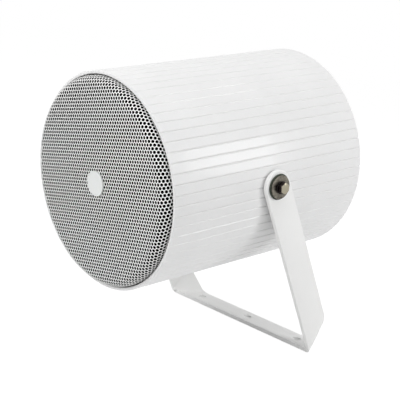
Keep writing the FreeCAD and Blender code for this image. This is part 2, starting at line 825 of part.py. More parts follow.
def make_flat_washer():
    """The wide washer between the rubber and the lock washer."""
    hole = pivot_bolt_radius + flat_washer_clearance
    return side_ring(flat_washer_radius, hole, flat_washer_x, spring_washer_x)


def make_rubber_washer():
    """The rubber disc between the arm and the wide washer."""
    hole = pivot_bolt_radius + washer_clearance
    return side_ring(rubber_washer_radius, hole, rubber_x, flat_washer_x)


def make_inner_washer():
    """The spacer between the tube and the arm."""
    hole = pivot_bolt_radius + washer_clearance
    return side_ring(inner_washer_radius, hole, housing_radius, arm_inner_x - face_gap)


def fold_stations(side):
    """The rulings of one corner of the bar, from the crossbar up to the arm.

    A ruling is (front point, back point, outward normal) on the bar's outer face.  The
    facet between the two folds passes through the point fold_lead ahead of the front
    corner, so the folds fan out from the front edge to the back edge.
    """
    along = arm_along
    corner = Vector(bracket_half_width, 0, 0) + front_corner
    base_back = Vector(bracket_half_width - fold_run, bar_width / 2, 0)
    arm_back = corner + along * fold_rise + arm_across * bar_width
    apex = corner + Vector(0, -fold_lead, 0)
    base_front = apex + (base_back - apex) * (fold_lead / (bar_width + fold_lead))
    across_lead = fold_lead * math.cos(lean)
    arm_front = apex + (arm_back - apex) * (across_lead / (bar_width + across_lead))
    facet_normal = (arm_back - base_back).cross(base_front - base_back)
    facet_normal.normalize()
    if facet_normal.x < 0:
        facet_normal = facet_normal * -1
    down = Vector(0, 0, -1)
    out = Vector(1, 0, 0)
    facet_front = unit(arm_front - base_front)
    facet_back = unit(arm_back - base_back)
    front_fold = (base_front, out, facet_front, base_fold_front)
    back_fold = (base_back, out, facet_back, base_fold_back)
    first = fold(front_fold, back_fold, down, facet_normal)
    front_fold = (arm_front, facet_front, along, arm_fold_front)
    back_fold = (arm_back, facet_back, along, arm_fold_back)
    second = fold(front_fold, back_fold, facet_normal, out)
    stations = first + second
    if side > 0:
        return stations
    return [tuple(Vector(-v.x, v.y, v.z) for v in station) for station in reversed(stations)]


def unit(vector):
    """The vector's direction."""
    direction = Vector(vector)
    direction.normalize()
    return direction


def fold(front, back, normal_before, normal_after):
    """The first, middle and last ruling of one fold, each edge rounded by its own setback."""
    rulings = [[], [], []]
    for corner, way_in, way_out, setback in (front, back):
        start = corner - way_in * setback
        end = corner + way_out * setback
        half_turn = way_in.getAngle(way_out) / 2
        inward = unit(end - corner + start - corner)
        radius = setback / math.tan(half_turn)
        middle = corner + inward * (radius / math.cos(half_turn) - radius)
        for ruling, point in zip(rulings, (start, middle, end)):
            ruling.append(point)
    normals = (normal_before, unit(normal_before + normal_after), normal_after)
    return [(ruling[0], ruling[1], normal) for ruling, normal in zip(rulings, normals)]


def section(station):
    """The four corners of the bar at a ruling: outer front, outer back, inner back, inner front."""
    front, back, normal = station
    inward = normal * -bar_thickness
    return [front, back, back + inward, front + inward]


def straight_panel(first, last):
    """The four flat faces of the bar between two rulings."""
    faces = []
    start = section(first)
    end = section(last)
    for index in range(4):
        following = (index + 1) % 4
        corners = [start[index], start[following], end[following], end[index], start[index]]
        faces.append(Part.Face(Part.makePolygon(corners)))
    return faces


def bent_panel(first, middle, last):
    """The four ruled faces of the bar round a fold."""
    arcs = []
    for start, via, end in zip(section(first), section(middle), section(last)):
        arcs.append(Part.Arc(start, via, end).toShape())
    return [Part.makeRuledSurface(arcs[index], arcs[(index + 1) % 4]) for index in range(4)]


def make_bracket():
    """The flat bar: crossbar, two folded corners, two leaning arms with round ends."""
    out = Vector(1, 0, 0)
    arm_end = out * bracket_half_width + front_corner + arm_along * arm_length
    right = fold_stations(1)
    left = fold_stations(-1)
    right_end = (arm_end, arm_end + arm_across * bar_width, out)
    left_end = tuple(Vector(-v.x, v.y, v.z) for v in right_end)
    stations = [left_end] + left + right + [right_end]
    faces = straight_panel(stations[0], stations[1])
    for first in range(1, len(stations) - 1, 3):
        faces += bent_panel(stations[first], stations[first + 1], stations[first + 2])
        faces += straight_panel(stations[first + 2], stations[first + 3])
    for end in (left_end, right_end):
        corners = section(end)
        faces.append(Part.Face(Part.makePolygon(corners + corners[:1])))
    shell = Part.makeShell(faces)
    shell.sewShape()
    bar = Part.Solid(shell)
    if bar.Volume < 0:
        bar.reverse()
    for side in (-1, 1):
        outer_x = side * bracket_half_width
        centre = Vector(outer_x, pivot.y, pivot.z)
        eye = Part.makeCylinder(bar_width / 2, bar_thickness, centre, out * -side)
        hole_radius = pivot_bolt_radius + pivot_clearance
        hole = Part.makeCylinder(hole_radius, bar_thickness + 2, centre + out * side, out * -side)
        bar = bar.fuse(eye).cut(hole)
    for place in (-1, 0, 1):
        start = Vector(place * fixing_hole_pitch, 0, -1)
        bar = bar.cut(Part.makeCylinder(fixing_hole_radius, bar_thickness + 2, start, Vector(0, 0, 1)))
    return bar.removeSplitter()


def main():
    """Build every node and write it."""
    os.makedirs("parts", exist_ok=True)
    export("mounting_bracket", make_bracket())
    export_in_head("housing", make_housing())
    export_in_head("front_grille", make_grille())
    export_in_head("badge", make_badge())
    export_in_head("grille_cloth", make_cloth())
    export_in_head("front_baffle", make_baffle())
    export_in_head("baffle_screws", make_baffle_screws())
    export_in_head("driver_basket", make_basket())
    export_in_head("driver_gasket", make_driver_gasket())
    export_in_head("driver_screws", make_driver_screws())
    export_in_head("surround", make_surround())
    export_in_head("cone", make_cone())
    export_in_head("dust_cap", make_dust_cap())
    export_in_head("voice_coil_former", make_voice_coil_former())
    export_in_head("voice_coil", make_voice_coil())
    export_in_head("spider", make_spider())
    export_in_head("top_plate", make_top_plate())
    export_in_head("magnet", make_magnet())
    export_in_head("back_plate", make_back_plate())
    export_in_head("terminal_strip", make_terminal_strip())
    export_in_head("rear_cover", make_rear_cover())
    export_in_head("rear_seal", make_rear_seal())
    export_in_head("rear_cover_screws", make_cover_screws())
    export_in_head("transformer_core", make_transformer_core())
    export_in_head("transformer_bobbin", make_transformer_bobbin())
    export_in_head("transformer_strap", make_transformer_strap())
    export_in_head("transformer_screws", make_transformer_screws())
    export_in_head("terminal_block", make_terminal_block())
    export_in_head("gland_body", make_gland_body())
    export_in_head("gland_nut", make_gland_nut())
    export_in_head("gland_seal", make_gland_seal())
    export_in_head("gland_locknut", make_gland_locknut())
    export_in_head("pivot_blocks", both_sides(make_pivot_block()))
    export_in_head("pivot_bolts", both_sides(make_pivot_bolt()))
    export_in_head("spring_washers", both_sides(make_spring_washer()))
    export_in_head("flat_washers", both_sides(make_flat_washer()))
    export_in_head("rubber_washers", both_sides(make_rubber_washer()))
    export_in_head("inner_washers", both_sides(make_inner_washer()))


main()
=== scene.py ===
"""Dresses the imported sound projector: a loudspeaker in a fluted round housing on a folded bar.

Sizes are in millimetres in the frame of the sub-assembly that holds them, and become metres of
the part's frame when a piece is made.  The head's own frame has its origin on the pivot, X along
the pivot axis and Y from the front rim to the back.
"""
from __future__ import annotations

import json
import logging
import math
from dataclasses import dataclass, field
from enum import Enum, auto

import bmesh
import bpy
import numpy as np
from mathutils import Matrix
from mathutils.geometry import delaunay_2d_cdt

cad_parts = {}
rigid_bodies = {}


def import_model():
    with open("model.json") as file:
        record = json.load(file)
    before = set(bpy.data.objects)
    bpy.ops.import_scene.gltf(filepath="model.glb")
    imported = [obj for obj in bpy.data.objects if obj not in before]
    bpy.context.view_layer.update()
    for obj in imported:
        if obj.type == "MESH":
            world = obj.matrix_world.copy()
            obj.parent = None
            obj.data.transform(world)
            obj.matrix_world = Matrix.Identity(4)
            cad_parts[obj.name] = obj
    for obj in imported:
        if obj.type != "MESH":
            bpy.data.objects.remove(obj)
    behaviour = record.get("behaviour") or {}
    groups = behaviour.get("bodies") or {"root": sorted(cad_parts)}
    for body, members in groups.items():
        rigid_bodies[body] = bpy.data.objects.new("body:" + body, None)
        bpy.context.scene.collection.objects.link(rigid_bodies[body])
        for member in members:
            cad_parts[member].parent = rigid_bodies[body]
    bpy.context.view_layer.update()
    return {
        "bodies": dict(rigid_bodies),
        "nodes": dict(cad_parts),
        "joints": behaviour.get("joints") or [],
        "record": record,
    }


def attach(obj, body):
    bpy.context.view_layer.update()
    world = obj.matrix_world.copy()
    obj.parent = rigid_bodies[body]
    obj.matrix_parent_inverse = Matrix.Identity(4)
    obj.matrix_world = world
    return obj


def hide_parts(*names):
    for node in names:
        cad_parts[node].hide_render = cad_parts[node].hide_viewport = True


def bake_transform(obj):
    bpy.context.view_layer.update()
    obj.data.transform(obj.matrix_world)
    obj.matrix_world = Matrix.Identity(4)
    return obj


LOG = logging.getLogger("sound_projector")

MM = 0.001
# Keeps a division by a length or a sine from failing at nought.
TINY = 1e-9
# Points nearer than this are welded, and edges shorter than that are taken out.
WELD, SLIVER = 0.0005, 0.0002
# Rounding of a corner that is meant to be sharp.
SHARP = 1e-4
HEXAGON_STEPS = 120

# Sizes that several sub-assemblies share.
TUBE_RADIUS = 100.0
SCREW_CIRCLE = 90.4
SCREW_ANGLES = np.radians([45, 135, 225, 315])
ARM_OUTER = 105.0
BAR_THICKNESS = 4.0


class Pattern(Enum):
    """How a finish varies over its surface."""

    SPRAYED = auto()
    MOULDED = auto()
    WOVEN = auto()
    FIBROUS = auto()
    LAYERED = auto()
    PLATED = auto()


class Slot(Enum):
    """The record's material slots."""

    WHITE_COAT = "white_powder_coat"
    BADGE = "white_badge"
    CLOTH = "black_cloth"
    PLASTIC = "black_plastic"
    ZINC = "zinc_steel"
    LACQUER = "black_lacquer"
    FOAM = "black_foam"
    RUBBER = "black_rubber"
    PAPER = "paper_cone"
    ALUMINIUM = "bare_aluminium"
    COPPER = "copper_wire"
    TREATED_CLOTH = "impregnated_cloth"
    FERRITE = "ferrite"
    BOARD = "phenolic_board"
    CORE_STEEL = "laminated_steel"
    BOBBIN = "wound_bobbin"
    CREAM = "cream_plastic"
    GREY_NYLON = "grey_nylon"
    WHITE_NYLON = "white_nylon"


def linear(colour: str) -> tuple[float, float, float, float]:
    """Turn an sRGB hex colour into the linear values that a shader takes.

    Args:
        colour: Six hexadecimal digits.

    Returns:
        Red, green, blue and an alpha of 1.
    """
    coded = np.array([int(colour[place:place + 2], 16) for place in (0, 2, 4)]) / 255
    value = np.where(coded <= 0.04045, coded / 12.92, ((coded + 0.055) / 1.055) ** 2.4)
    return (*value.tolist(), 1.0)


def empty_tree(owner: bpy.types.Material | bpy.types.World) -> bpy.types.NodeTree:
    """Give a material or a world a node tree with nothing in it.

    Args:
        owner: The material or the world.

    Returns:
        Its node tree.
    """
    owner.use_nodes = True
    owner.node_tree.nodes.clear()
    return owner.node_tree


def add(
    tree: bpy.types.NodeTree,
    kind: str,
    inputs: dict[str | int, object] | None = None,
    **settings: object,
) -> bpy.types.Node:
    """Add one node with its settings and links.

    Args:
        tree: The node tree.
        kind: The node's type without its ShaderNode prefix.
        inputs: A value or an output socket for each input, by name or number.
        **settings: Properties of the node.

    Returns:
        The node.
    """
    node = tree.nodes.new("ShaderNode" + kind)
    for name, value in settings.items():
        setattr(node, name, value)
    for name, value in (inputs or {}).items():
        if isinstance(value, bpy.types.NodeSocket):
            tree.links.new(value, node.inputs[name])
        else:
            node.inputs[name].default_value = value
    return node


def blended(
    tree: bpy.types.NodeTree,
    share: bpy.types.NodeSocket,
    low: bpy.types.NodeSocket | tuple[float, ...],
    high: bpy.types.NodeSocket | tuple[float, ...],
) -> bpy.types.NodeSocket:
    """Blend two colours: low + share (high - low).

    Args:
        tree: The material's node tree.
        share: How much of the second colour.
        low: The first colour.
        high: The second colour.

    Returns:
        The colour's socket.
    """
    # The node has sockets for every type of data: 6, 7 and output 2 are those for colours.
    return add(tree, "Mix", {0: share, 6: low, 7: high}, data_type="RGBA").outputs[2]


@dataclass(frozen=True)
class Noise:
    """A cloudy pattern: how fine it goes, how twisted it is and how it is drawn out."""

    detail: float
    twist: float = 0.0
    stretch: tuple[float, float, float] | None = None


NOISES = {
    Pattern.SPRAYED: Noise(detail=1.0),
    Pattern.MOULDED: Noise(detail=3.0),
    Pattern.FIBROUS: Noise(detail=6.0, twist=1.5, stretch=(1.0, 0.35, 0.6)),
    Pattern.PLATED: Noise(detail=4.0, stretch=(1.0, 0.08, 1.0)),
}
# A wave texture of scale 1 has its bands this far apart.
WAVE_SPACING = 0.314
WAVE_TWIST = 0.4
CLOUD_DETAIL = 3.0
# Cloud times one plus grain, where a finish has its shade and where it has its full colour.
TONE_RANGE = (0.35, 1.05)
# Painted reflection: how squarely a face looks along the pivot axis where it starts and is full.
PAINTED_REFLECTION_RANGE = (0.70, 0.97)


@dataclass(frozen=True)
class Finish:
    """One surface finish, with what it does to light and the real size of its grain.

    Grain is the spacing of the fine pattern, relief its height and cloud the size of the slow
    changes of tone, all in millimetres.  Rough holds the roughness at the pattern's lowest and
    highest points.  Where a painted reflection colour is given, the faces that look along the
    pivot axis have it: a lighter colour set by the faces' direction, as a painted reflection.
    """

    name: str
    slot: Slot
    pattern: Pattern
    colour: str
    shade: str
    rough: tuple[float, float]
    grain: float
    relief: float
    metallic: float = 0.0
    coat: float = 0.0
    coat_rough: float = 0.15
    gloss: float = 0.5
    cloud: float = 60.0
    painted_reflection: str = ""

    def texture(
        self, tree: bpy.types.NodeTree, place: bpy.types.NodeSocket,
    ) -> bpy.types.NodeSocket:
        """Make the fine pattern of the finish.

        Args:
            tree: The material's node tree.
            place: Coordinates in the head's frame, in metres.

        Returns:
            A socket with the height, from 0 to 1.
        """
        scale = 1 / (self.grain * MM)
        noise = NOISES.get(self.pattern)
        if noise:
            if noise.stretch:
                drawn_out = {"Vector": place, "Scale": noise.stretch}
                place = add(tree, "Mapping", drawn_out).outputs["Vector"]
            cloudy = {"Vector": place, "Scale": scale, "Detail": noise.detail}
            return add(tree, "TexNoise", {**cloudy, "Distortion": noise.twist}).outputs["Fac"]
        wave = {"Vector": place, "Scale": WAVE_SPACING * scale, "Detail": 1.0}
        wave["Distortion"] = WAVE_TWIST
        if self.pattern is Pattern.LAYERED:
            return add(tree, "TexWave", wave, bands_direction="Y").outputs["Fac"]
        warp = add(tree, "TexWave", wave, bands_direction="X").outputs["Fac"]
        weft = add(tree, "TexWave", wave, bands_direction="Z").outputs["Fac"]
        over = add(tree, "TexChecker", {"Vector": place, "Scale": scale}).outputs["Fac"]
        return add(tree, "Mix", {"Factor": over, "A": warp, "B": weft}).outputs["Result"]

    def painted(
        self,
        tree: bpy.types.NodeTree,
        height: bpy.types.NodeSocket,
        place: bpy.types.NodeSocket,
    ) -> bpy.types.NodeSocket:
        """Make the colour from the grain and the clouds, with the painted reflection over it.

        Args:
            tree: The material's node tree.
            height: Height of the fine pattern.
            place: Coordinates in the head's frame, in metres.

        Returns:
            The colour's socket.
        """
        clouds = {"Vector": place, "Scale": 1 / (self.cloud * MM), "Detail": CLOUD_DETAIL}
        cloud = add(tree, "TexNoise", clouds).outputs["Fac"]
        both = add(tree, "Math", {0: height, 1: cloud, 2: cloud}, operation="MULTIPLY_ADD")
        low, high = TONE_RANGE
        tone = add(tree, "MapRange", {"Value": both.outputs[0], "From Min": low, "From Max": high})
        colour = blended(tree, tone.outputs["Result"], linear(self.shade), linear(self.colour))
        if not self.painted_reflection:
            return colour
        # Painted reflection: faces that look along the pivot axis get the lighter colour by their
        # direction.
        facing = add(tree, "TexCoord").outputs["Normal"]
        side = add(tree, "SeparateXYZ", {"Vector": facing}).outputs["X"]
        square = add(tree, "Math", {0: side}, operation="ABSOLUTE").outputs[0]
        low, high = PAINTED_REFLECTION_RANGE
        painted_reflection_share = add(tree, "MapRange", {"Value": square, "From Min": low, "From Max": high})
        return blended(tree, painted_reflection_share.outputs["Result"], colour, linear(self.painted_reflection))

    def material(self, head: HeadFrame) -> bpy.types.Material:
        """Build the shader.

        Args:
            head: The head's frame, which the pattern is laid out in.

        Returns:
            The material, named for the finish.
        """
        made = bpy.data.materials.new(self.name)
        tree = empty_tree(made)
        seen = add(tree, "TexCoord").outputs["Object"]
        laid = {"Vector": seen, "Location": tuple(head.origin), "Rotation": (head.tilt, 0.0, 0.0)}
        place = add(tree, "Mapping", laid, vector_type="TEXTURE").outputs["Vector"]
        height = self.texture(tree, place)
        matt = {"Value": height, "To Min": self.rough[0], "To Max": self.rough[1]}
        bumps = {"Height": height, "Distance": self.relief * MM, "Strength": 1.0}
        shader = add(tree, "BsdfPrincipled", {
            "Base Color": self.painted(tree, height, place),
            "Roughness": add(tree, "MapRange", matt).outputs["Result"],
            "Normal": add(tree, "Bump", bumps).outputs["Normal"],
            "Metallic": self.metallic,
            "Coat Weight": self.coat,
            "Coat Roughness": self.coat_rough,
            "Specular IOR Level": self.gloss,
        })
        add(tree, "OutputMaterial", {"Surface": shader.outputs["BSDF"]})
        return made


# Polyester powder coat: semi-gloss white with the soft ripple that the melted powder leaves.
# Kept a little darker than the bar's copy of the same coat, as painted shade.
SHADED_POWDER_COAT = Finish(
    "powder_coat", Slot.WHITE_COAT, Pattern.SPRAYED, "ECECEC", "E7E7E7", (0.34, 0.44), grain=1.4,
    relief=0.004, coat=0.18, coat_rough=0.04, gloss=0.3,
)
# The same coat on steel, more matt, and a little whiter than the shaded copy on the tube.
BAR_COAT = Finish(
    "bar_coat", Slot.WHITE_COAT, Pattern.SPRAYED, "F3F3F2", "EFEFEE", (0.40, 0.50), grain=1.4,
    relief=0.004,
)
# Moulded and painted disc: smoother than the sheet round it.
PAINTED_DISC = Finish(
    "painted_disc", Slot.BADGE, Pattern.SPRAYED, "E2E4E3", "DEE0DF", (0.26, 0.34), grain=1.0,
    relief=0.002,
)
# Knitted polyester: drawn at 0.9 mm, coarser than the real 0.4 mm, so that threads show.
KNIT_CLOTH = Finish(
    "knit_cloth", Slot.CLOTH, Pattern.WOVEN, "0B0B0C", "050505", (0.92, 0.99), grain=0.9,
    relief=0.12, gloss=0.05,
)
# ABS with a fine spark-eroded grain.
GRAINED_ABS = Finish(
    "grained_abs", Slot.PLASTIC, Pattern.MOULDED, "1D1E20", "151617", (0.45, 0.62), grain=0.8,
    relief=0.02,
)
# Zinc-plated steel screws, dulled: a grey metal with a warm cast and drawn scratches.
DULL_ZINC = Finish(
    "dull_zinc", Slot.ZINC, Pattern.PLATED, "A8A698", "8C8A7D", (0.30, 0.48), grain=0.9,
    relief=0.004, metallic=1.0, cloud=9.0,
)
# The large washers: zinc passivated brown-black, partly its own finish and partly painted dark
# reflection, which clouds over from near black to warm grey.
STAINED_AND_SHADED_ZINC = Finish(
    "stained_zinc", Slot.ZINC, Pattern.PLATED, "8A867B", "38322F", (0.26, 0.42), grain=0.9,
    relief=0.004, metallic=1.0, cloud=7.0,
)
# Spring steel, oil-blackened.
BLACKED_STEEL = Finish(
    "blacked_steel", Slot.ZINC, Pattern.PLATED, "34302F", "1B181A", (0.30, 0.45), grain=0.8,
    relief=0.004, metallic=1.0, cloud=6.0,
)
# Forged bolt heads: dark flanks, partly the metal's own tone and partly painted dark reflection,
# and a warm grey face by its direction, which is painted reflection.
FORGED_HEAD = Finish(
    "forged_head", Slot.ZINC, Pattern.PLATED, "4A4241", "1E1A1D", (0.28, 0.42), grain=0.8,
    relief=0.005, metallic=1.0, cloud=5.0, painted_reflection="9C9685",
)
# Stoved black lacquer on pressed steel.
STOVED_LACQUER = Finish(
    "stoved_lacquer", Slot.LACQUER, Pattern.SPRAYED, "17181A", "101112", (0.30, 0.42), grain=1.2,
    relief=0.01, coat=0.2,
)
# Closed-cell foam: open pores on the cut faces.
CLOSED_FOAM = Finish(
    "closed_foam", Slot.FOAM, Pattern.MOULDED, "222224", "121213", (0.88, 0.97), grain=0.7,
    relief=0.15,
)
# Moulded rubber: near black with a green cast, and a dusty bloom.
BLACK_RUBBER = Finish(
    "black_rubber", Slot.RUBBER, Pattern.MOULDED, "333A2E", "20251D", (0.60, 0.78), grain=0.6,
    relief=0.02,
)
# Pressed paper pulp: short fibres, dark grey.
PAPER_PULP = Finish(
    "paper_pulp", Slot.PAPER, Pattern.FIBROUS, "3A3A3A", "242424", (0.85, 0.95), grain=1.2,
    relief=0.08,
)
# Rolled aluminium foil and sheet.
MILL_ALUMINIUM = Finish(
    "mill_aluminium", Slot.ALUMINIUM, Pattern.PLATED, "D6D7D8", "C2C3C4", (0.25, 0.38), grain=0.6,
    relief=0.003, metallic=1.0,
)
# Enamelled copper wire: turns drawn 0.4 mm apart.
COPPER_WIRE = Finish(
    "copper_wire", Slot.COPPER, Pattern.LAYERED, "C8713A", "A4552A", (0.20, 0.35), grain=0.4,
    relief=0.08, metallic=1.0,
)
# Resin-treated cotton: yellow-brown cloth.
TREATED_COTTON = Finish(
    "treated_cotton", Slot.TREATED_CLOTH, Pattern.WOVEN, "B89A5E", "94783F", (0.70, 0.85),
    grain=0.9, relief=0.10,
)
# Sintered ferrite: dark, slightly glassy and speckled.
FERRITE = Finish(
    "sintered_ferrite", Slot.FERRITE, Pattern.MOULDED, "3B3C3F", "2A2B2D", (0.40, 0.60), grain=1.0,
    relief=0.03,
)
# Paper-phenolic board.
PHENOLIC_BOARD = Finish(
    "phenolic_board", Slot.BOARD, Pattern.FIBROUS, "8A5A2E", "6E4420", (0.45, 0.60), grain=1.5,
    relief=0.02,
)
# Stacked transformer sheets, 0.5 mm each.
STACKED_SHEETS = Finish(
    "stacked_sheets", Slot.CORE_STEEL, Pattern.LAYERED, "77787A", "55565A", (0.35, 0.55), grain=0.5,
    relief=0.10, metallic=1.0,
)
# Winding under yellow tape.
TAPED_WINDING = Finish(
    "taped_winding", Slot.BOBBIN, Pattern.LAYERED, "D9B54A", "C29C35", (0.35, 0.50), grain=1.6,
    relief=0.05,
)
# Polyamide terminal body.
CREAM_NYLON = Finish(
    "cream_nylon", Slot.CREAM, Pattern.MOULDED, "E6DFC8", "DAD2B8", (0.40, 0.55), grain=0.9,
    relief=0.02,
)
# Moulded polyamide, light grey, with a slight grain.
GREY_NYLON = Finish(
    "grey_nylon", Slot.GREY_NYLON, Pattern.MOULDED, "C6C8C8", "B6B8B8", (0.42, 0.58), grain=0.9,
    relief=0.02,
)
# Moulded polyamide, natural white.
WHITE_NYLON = Finish(
    "white_nylon", Slot.WHITE_NYLON, Pattern.MOULDED, "E9E9E2", "DCDCD4", (0.38, 0.52), grain=0.9,
    relief=0.015,
)

KEPT_NODES = {
    GRAINED_ABS: ("front_baffle",),
    DULL_ZINC: (
        "baffle_screws", "driver_screws", "transformer_strap", "transformer_screws",
        "top_plate", "back_plate",
    ),
    STOVED_LACQUER: ("driver_basket",),
    CLOSED_FOAM: ("driver_gasket", "rear_seal"),
    BLACK_RUBBER: ("gland_seal",),
    PAPER_PULP: ("cone", "dust_cap"),
    MILL_ALUMINIUM: ("voice_coil_former", "pivot_blocks"),
    COPPER_WIRE: ("voice_coil",),
    FERRITE: ("magnet",),
    PHENOLIC_BOARD: ("terminal_strip",),
    STACKED_SHEETS: ("transformer_core",),
    TAPED_WINDING: ("transformer_bobbin",),
    CREAM_NYLON: ("terminal_block",),
    GREY_NYLON: ("gland_locknut",),
}


@dataclass(frozen=True)
class HeadFrame:
    """Where the head hangs: its pivot in metres and the direction from its front to its back."""

    origin: np.ndarray
    back: np.ndarray

    @property
    def tilt(self) -> float:
        """Angle that the head leans about the pivot axis, in radians."""
        return math.atan2(self.back[2], self.back[1])

    def placed(self, points: np.ndarray) -> np.ndarray:
        """Turn points of the head's frame, in millimetres, into the part's frame in metres."""
        axes = np.array([[1.0, 0.0, 0.0], self.back, [0.0, -self.back[2], self.back[1]]])
        return points * MM @ axes + self.origin


@dataclass(frozen=True)
class Surface:
    """Points in millimetres and blocks of faces that have as many corners each."""

    points: np.ndarray
    faces: tuple[np.ndarray, ...]

    def __add__(self, other: Surface) -> Surface:
        """Both surfaces in one."""
        shifted = tuple(block + len(self.points) for block in other.faces)
        return Surface(np.vstack([self.points, other.points]), self.faces + shifted)

    def mirrored(self) -> Surface:
        """The surface and its mirror image across the middle of the part."""
        flipped = tuple(block[:, ::-1] for block in self.faces)
        return self + Surface(self.points * (-1, 1, 1), flipped)

    def along_x(self) -> Surface:
        """The surface with its Y axis laid along X."""
        return Surface(self.points[:, [1, 0, 2]], self.faces)

    def shifted(self, x: float, y: float, z: float) -> Surface:
        """The surface moved by millimetres."""
        return Surface(self.points + (x, y, z), self.faces)

    def spun(self, angle: float) -> Surface:
        """The surface turned about the head's axis by an angle in radians."""
        cosine, sine = math.cos(angle), math.sin(angle)
        return Surface(self.points @ [[cosine, 0, sine], [0, 1, 0], [-sine, 0, cosine]], self.faces)

    def mesh(self, name: str) -> bpy.types.Mesh:
        """Make the mesh, weld its seams and poles, and turn its faces outwards.

        Args:
            name: The mesh's name.

        Returns:
            The mesh, in the unit of the points.
        """
        corners = np.concatenate([block.ravel() for block in self.faces])
        sizes = np.concatenate([np.full(len(block), block.shape[1]) for block in self.faces])
        starts = np.cumsum(sizes) - sizes
        mesh = bpy.data.meshes.new(name)
        mesh.vertices.add(len(self.points))
        mesh.vertices.foreach_set("co", self.points.astype(np.float32).ravel())
        mesh.loops.add(len(corners))
        mesh.loops.foreach_set("vertex_index", corners.astype(np.int32))
        mesh.polygons.add(len(sizes))
        mesh.polygons.foreach_set("loop_start", starts.astype(np.int32))
        mesh.update(calc_edges=True)
        welded = bmesh.new()
        welded.from_mesh(mesh)
        bmesh.ops.remove_doubles(welded, verts=welded.verts, dist=WELD)
        bmesh.ops.dissolve_degenerate(welded, edges=welded.edges, dist=SLIVER)
        bmesh.ops.recalc_face_normals(welded, faces=welded.faces)
        welded.to_mesh(mesh)
        welded.free()
        return mesh


def grid(points: np.ndarray, close_rows: bool = False, close_columns: bool = True) -> Surface:
    """Join a (rows, columns, 3) array of points with quads.

    Args:
        points: The points of the surface by its two parameters.
        close_rows: Whether the last row joins the first.
        close_columns: Whether the last column joins the first.

    Returns:
        The surface.
    """
    rows, columns = points.shape[:2]
    index = np.arange(rows * columns).reshape(rows, columns)
    if close_rows:
        index = np.vstack([index, index[:1]])
    if close_columns:
        index = np.hstack([index, index[:, :1]])
    corners = (index[:-1, :-1], index[:-1, 1:], index[1:, 1:], index[1:, :-1])
    return Surface(points.reshape(-1, 3), (np.stack(corners, -1).reshape(-1, 4),))


def unit(vectors: np.ndarray) -> np.ndarray:
    """The directions of one vector or of an array of them."""
    return vectors / np.linalg.norm(vectors, axis=-1, keepdims=True)


def full_turn(steps: int) -> np.ndarray:
    """Angles spaced evenly round a full turn, (steps,)."""
    return np.linspace(0, math.tau, steps, endpoint=False)


def quarter_turn(steps: int) -> np.ndarray:
    """Angles from nought to a quarter turn, both included, (steps,)."""
    return np.linspace(0, math.pi / 2, steps)


def spokes(angle: np.ndarray) -> np.ndarray:
    """Directions at angles in a plane: (cos a, sin a), (..., 2)."""
    return np.stack([np.cos(angle), np.sin(angle)], -1)


def linked_points(loops: np.ndarray) -> np.ndarray:
    """Each point of closed loops with the one after it, (n, 2)."""
    return np.stack([loops, np.roll(loops, -1, 1)], -1).reshape(-1, 2)


def swept(start: np.ndarray, end: np.ndarray, shares: np.ndarray) -> np.ndarray:
    """Turn one direction into another at an even rate.

    The direction at share s is (sin((1 - s) w) start + sin(s w) end) / sin(w), where w is the
    angle between the two.

    Args:
        start: Unit vectors, (..., axes).
        end: Unit vectors, (..., axes).
        shares: Shares of the turn, (n,).

    Returns:
        Unit vectors, (..., n, axes).
    """
    turn = np.arccos(np.clip((start * end).sum(-1), -1, 1))[..., None, None]
    steps = shares[:, None]
    from_start = np.sin((1 - steps) * turn) * start[..., None, :]
    from_end = np.sin(steps * turn) * end[..., None, :]
    return (from_start + from_end) / np.maximum(np.sin(turn), TINY)


def rounded(corners: list[tuple[float, float, float]], steps: int = 4) -> np.ndarray:
    """Round the corners of a closed outline.

    A corner of radius r between two sides at an angle t starts r / tan(t / 2) before the corner,
    and runs on a circle whose centre is r / sin(t / 2) from it along the bisector.

    Args:
        corners: Radius, height and rounding of each corner.
        steps: Number of parts of each arc.

    Returns:
        The outline's points, (n, 2).
    """
    table = np.array(corners, float)
    place, radius = table[:, :2], np.maximum(table[:, 2:], SHARP)
    before = unit(np.roll(place, 1, 0) - place)
    after = unit(np.roll(place, -1, 0) - place)
    angle = np.arccos(np.clip((before * after).sum(1, keepdims=True), -1, 1))
    setback = radius / np.tan(angle / 2)
    centre = place + unit(before + after) * radius / np.sin(angle / 2)
    start = (place + before * setback - centre) / radius
    end = (place + after * setback - centre) / radius
    arcs = centre[:, None] + radius[:, None] * swept(start, end, np.linspace(0, 1, steps + 1))
    return arcs.reshape(-1, 2)


def revolved(
    radius: np.ndarray, height: np.ndarray, angle: np.ndarray, closed: bool = True,
) -> Surface:
    """Carry an outline round the head's axis: (r cos a, y, r sin a).

    Args:
        radius: Radius r of each point of the outline, one for all angles or one for each.
        height: Height y of the same points, (n, 1).
        angle: The angles a, (steps,).
        closed: Whether the outline is a loop.

    Returns:
        The surface.
    """
    across, up = radius * np.cos(angle), radius * np.sin(angle)
    return grid(np.stack([across, np.broadcast_to(height, across.shape), up], -1), closed)


def turned(outline: np.ndarray, steps: int, closed: bool = True) -> Surface:
    """Turn an outline of (n, 2) radii and heights about the head's axis in so many steps."""
    return revolved(outline[:, :1], outline[:, 1:], full_turn(steps), closed)


def hexagonal(outline: np.ndarray, flats: float, softness: float) -> Surface:
    """Turn an outline and trim it to a hexagon.

    At angle a the hexagon is flats / 2 / cos(a folded into -30..30 degrees) wide.  The radius is
    the soft minimum of that and the outline's, -k ln(exp(-p / k) + exp(-q / k)), which rounds
    the edge where the two meet.

    Args:
        outline: Radius and height of each point of a closed outline, (n, 2).
        flats: Width across flats.
        softness: Size of the rounding k.

    Returns:
        The surface.
    """
    angle = full_turn(HEXAGON_STEPS)
    folded = (angle + math.pi / 6) % (math.pi / 3) - math.pi / 6
    side = flats / 2 / np.cos(folded)
    radius = outline[:, :1]
    gap = np.abs(radius - side) / softness
    trimmed = np.minimum(radius, side) - softness * np.log1p(np.exp(-gap))
    # Points on the axis stay there, or the softening would open the pole.
    trimmed = np.where(radius < TINY, 0, np.maximum(trimmed, 0))
    return revolved(trimmed, outline[:, 1:], angle)


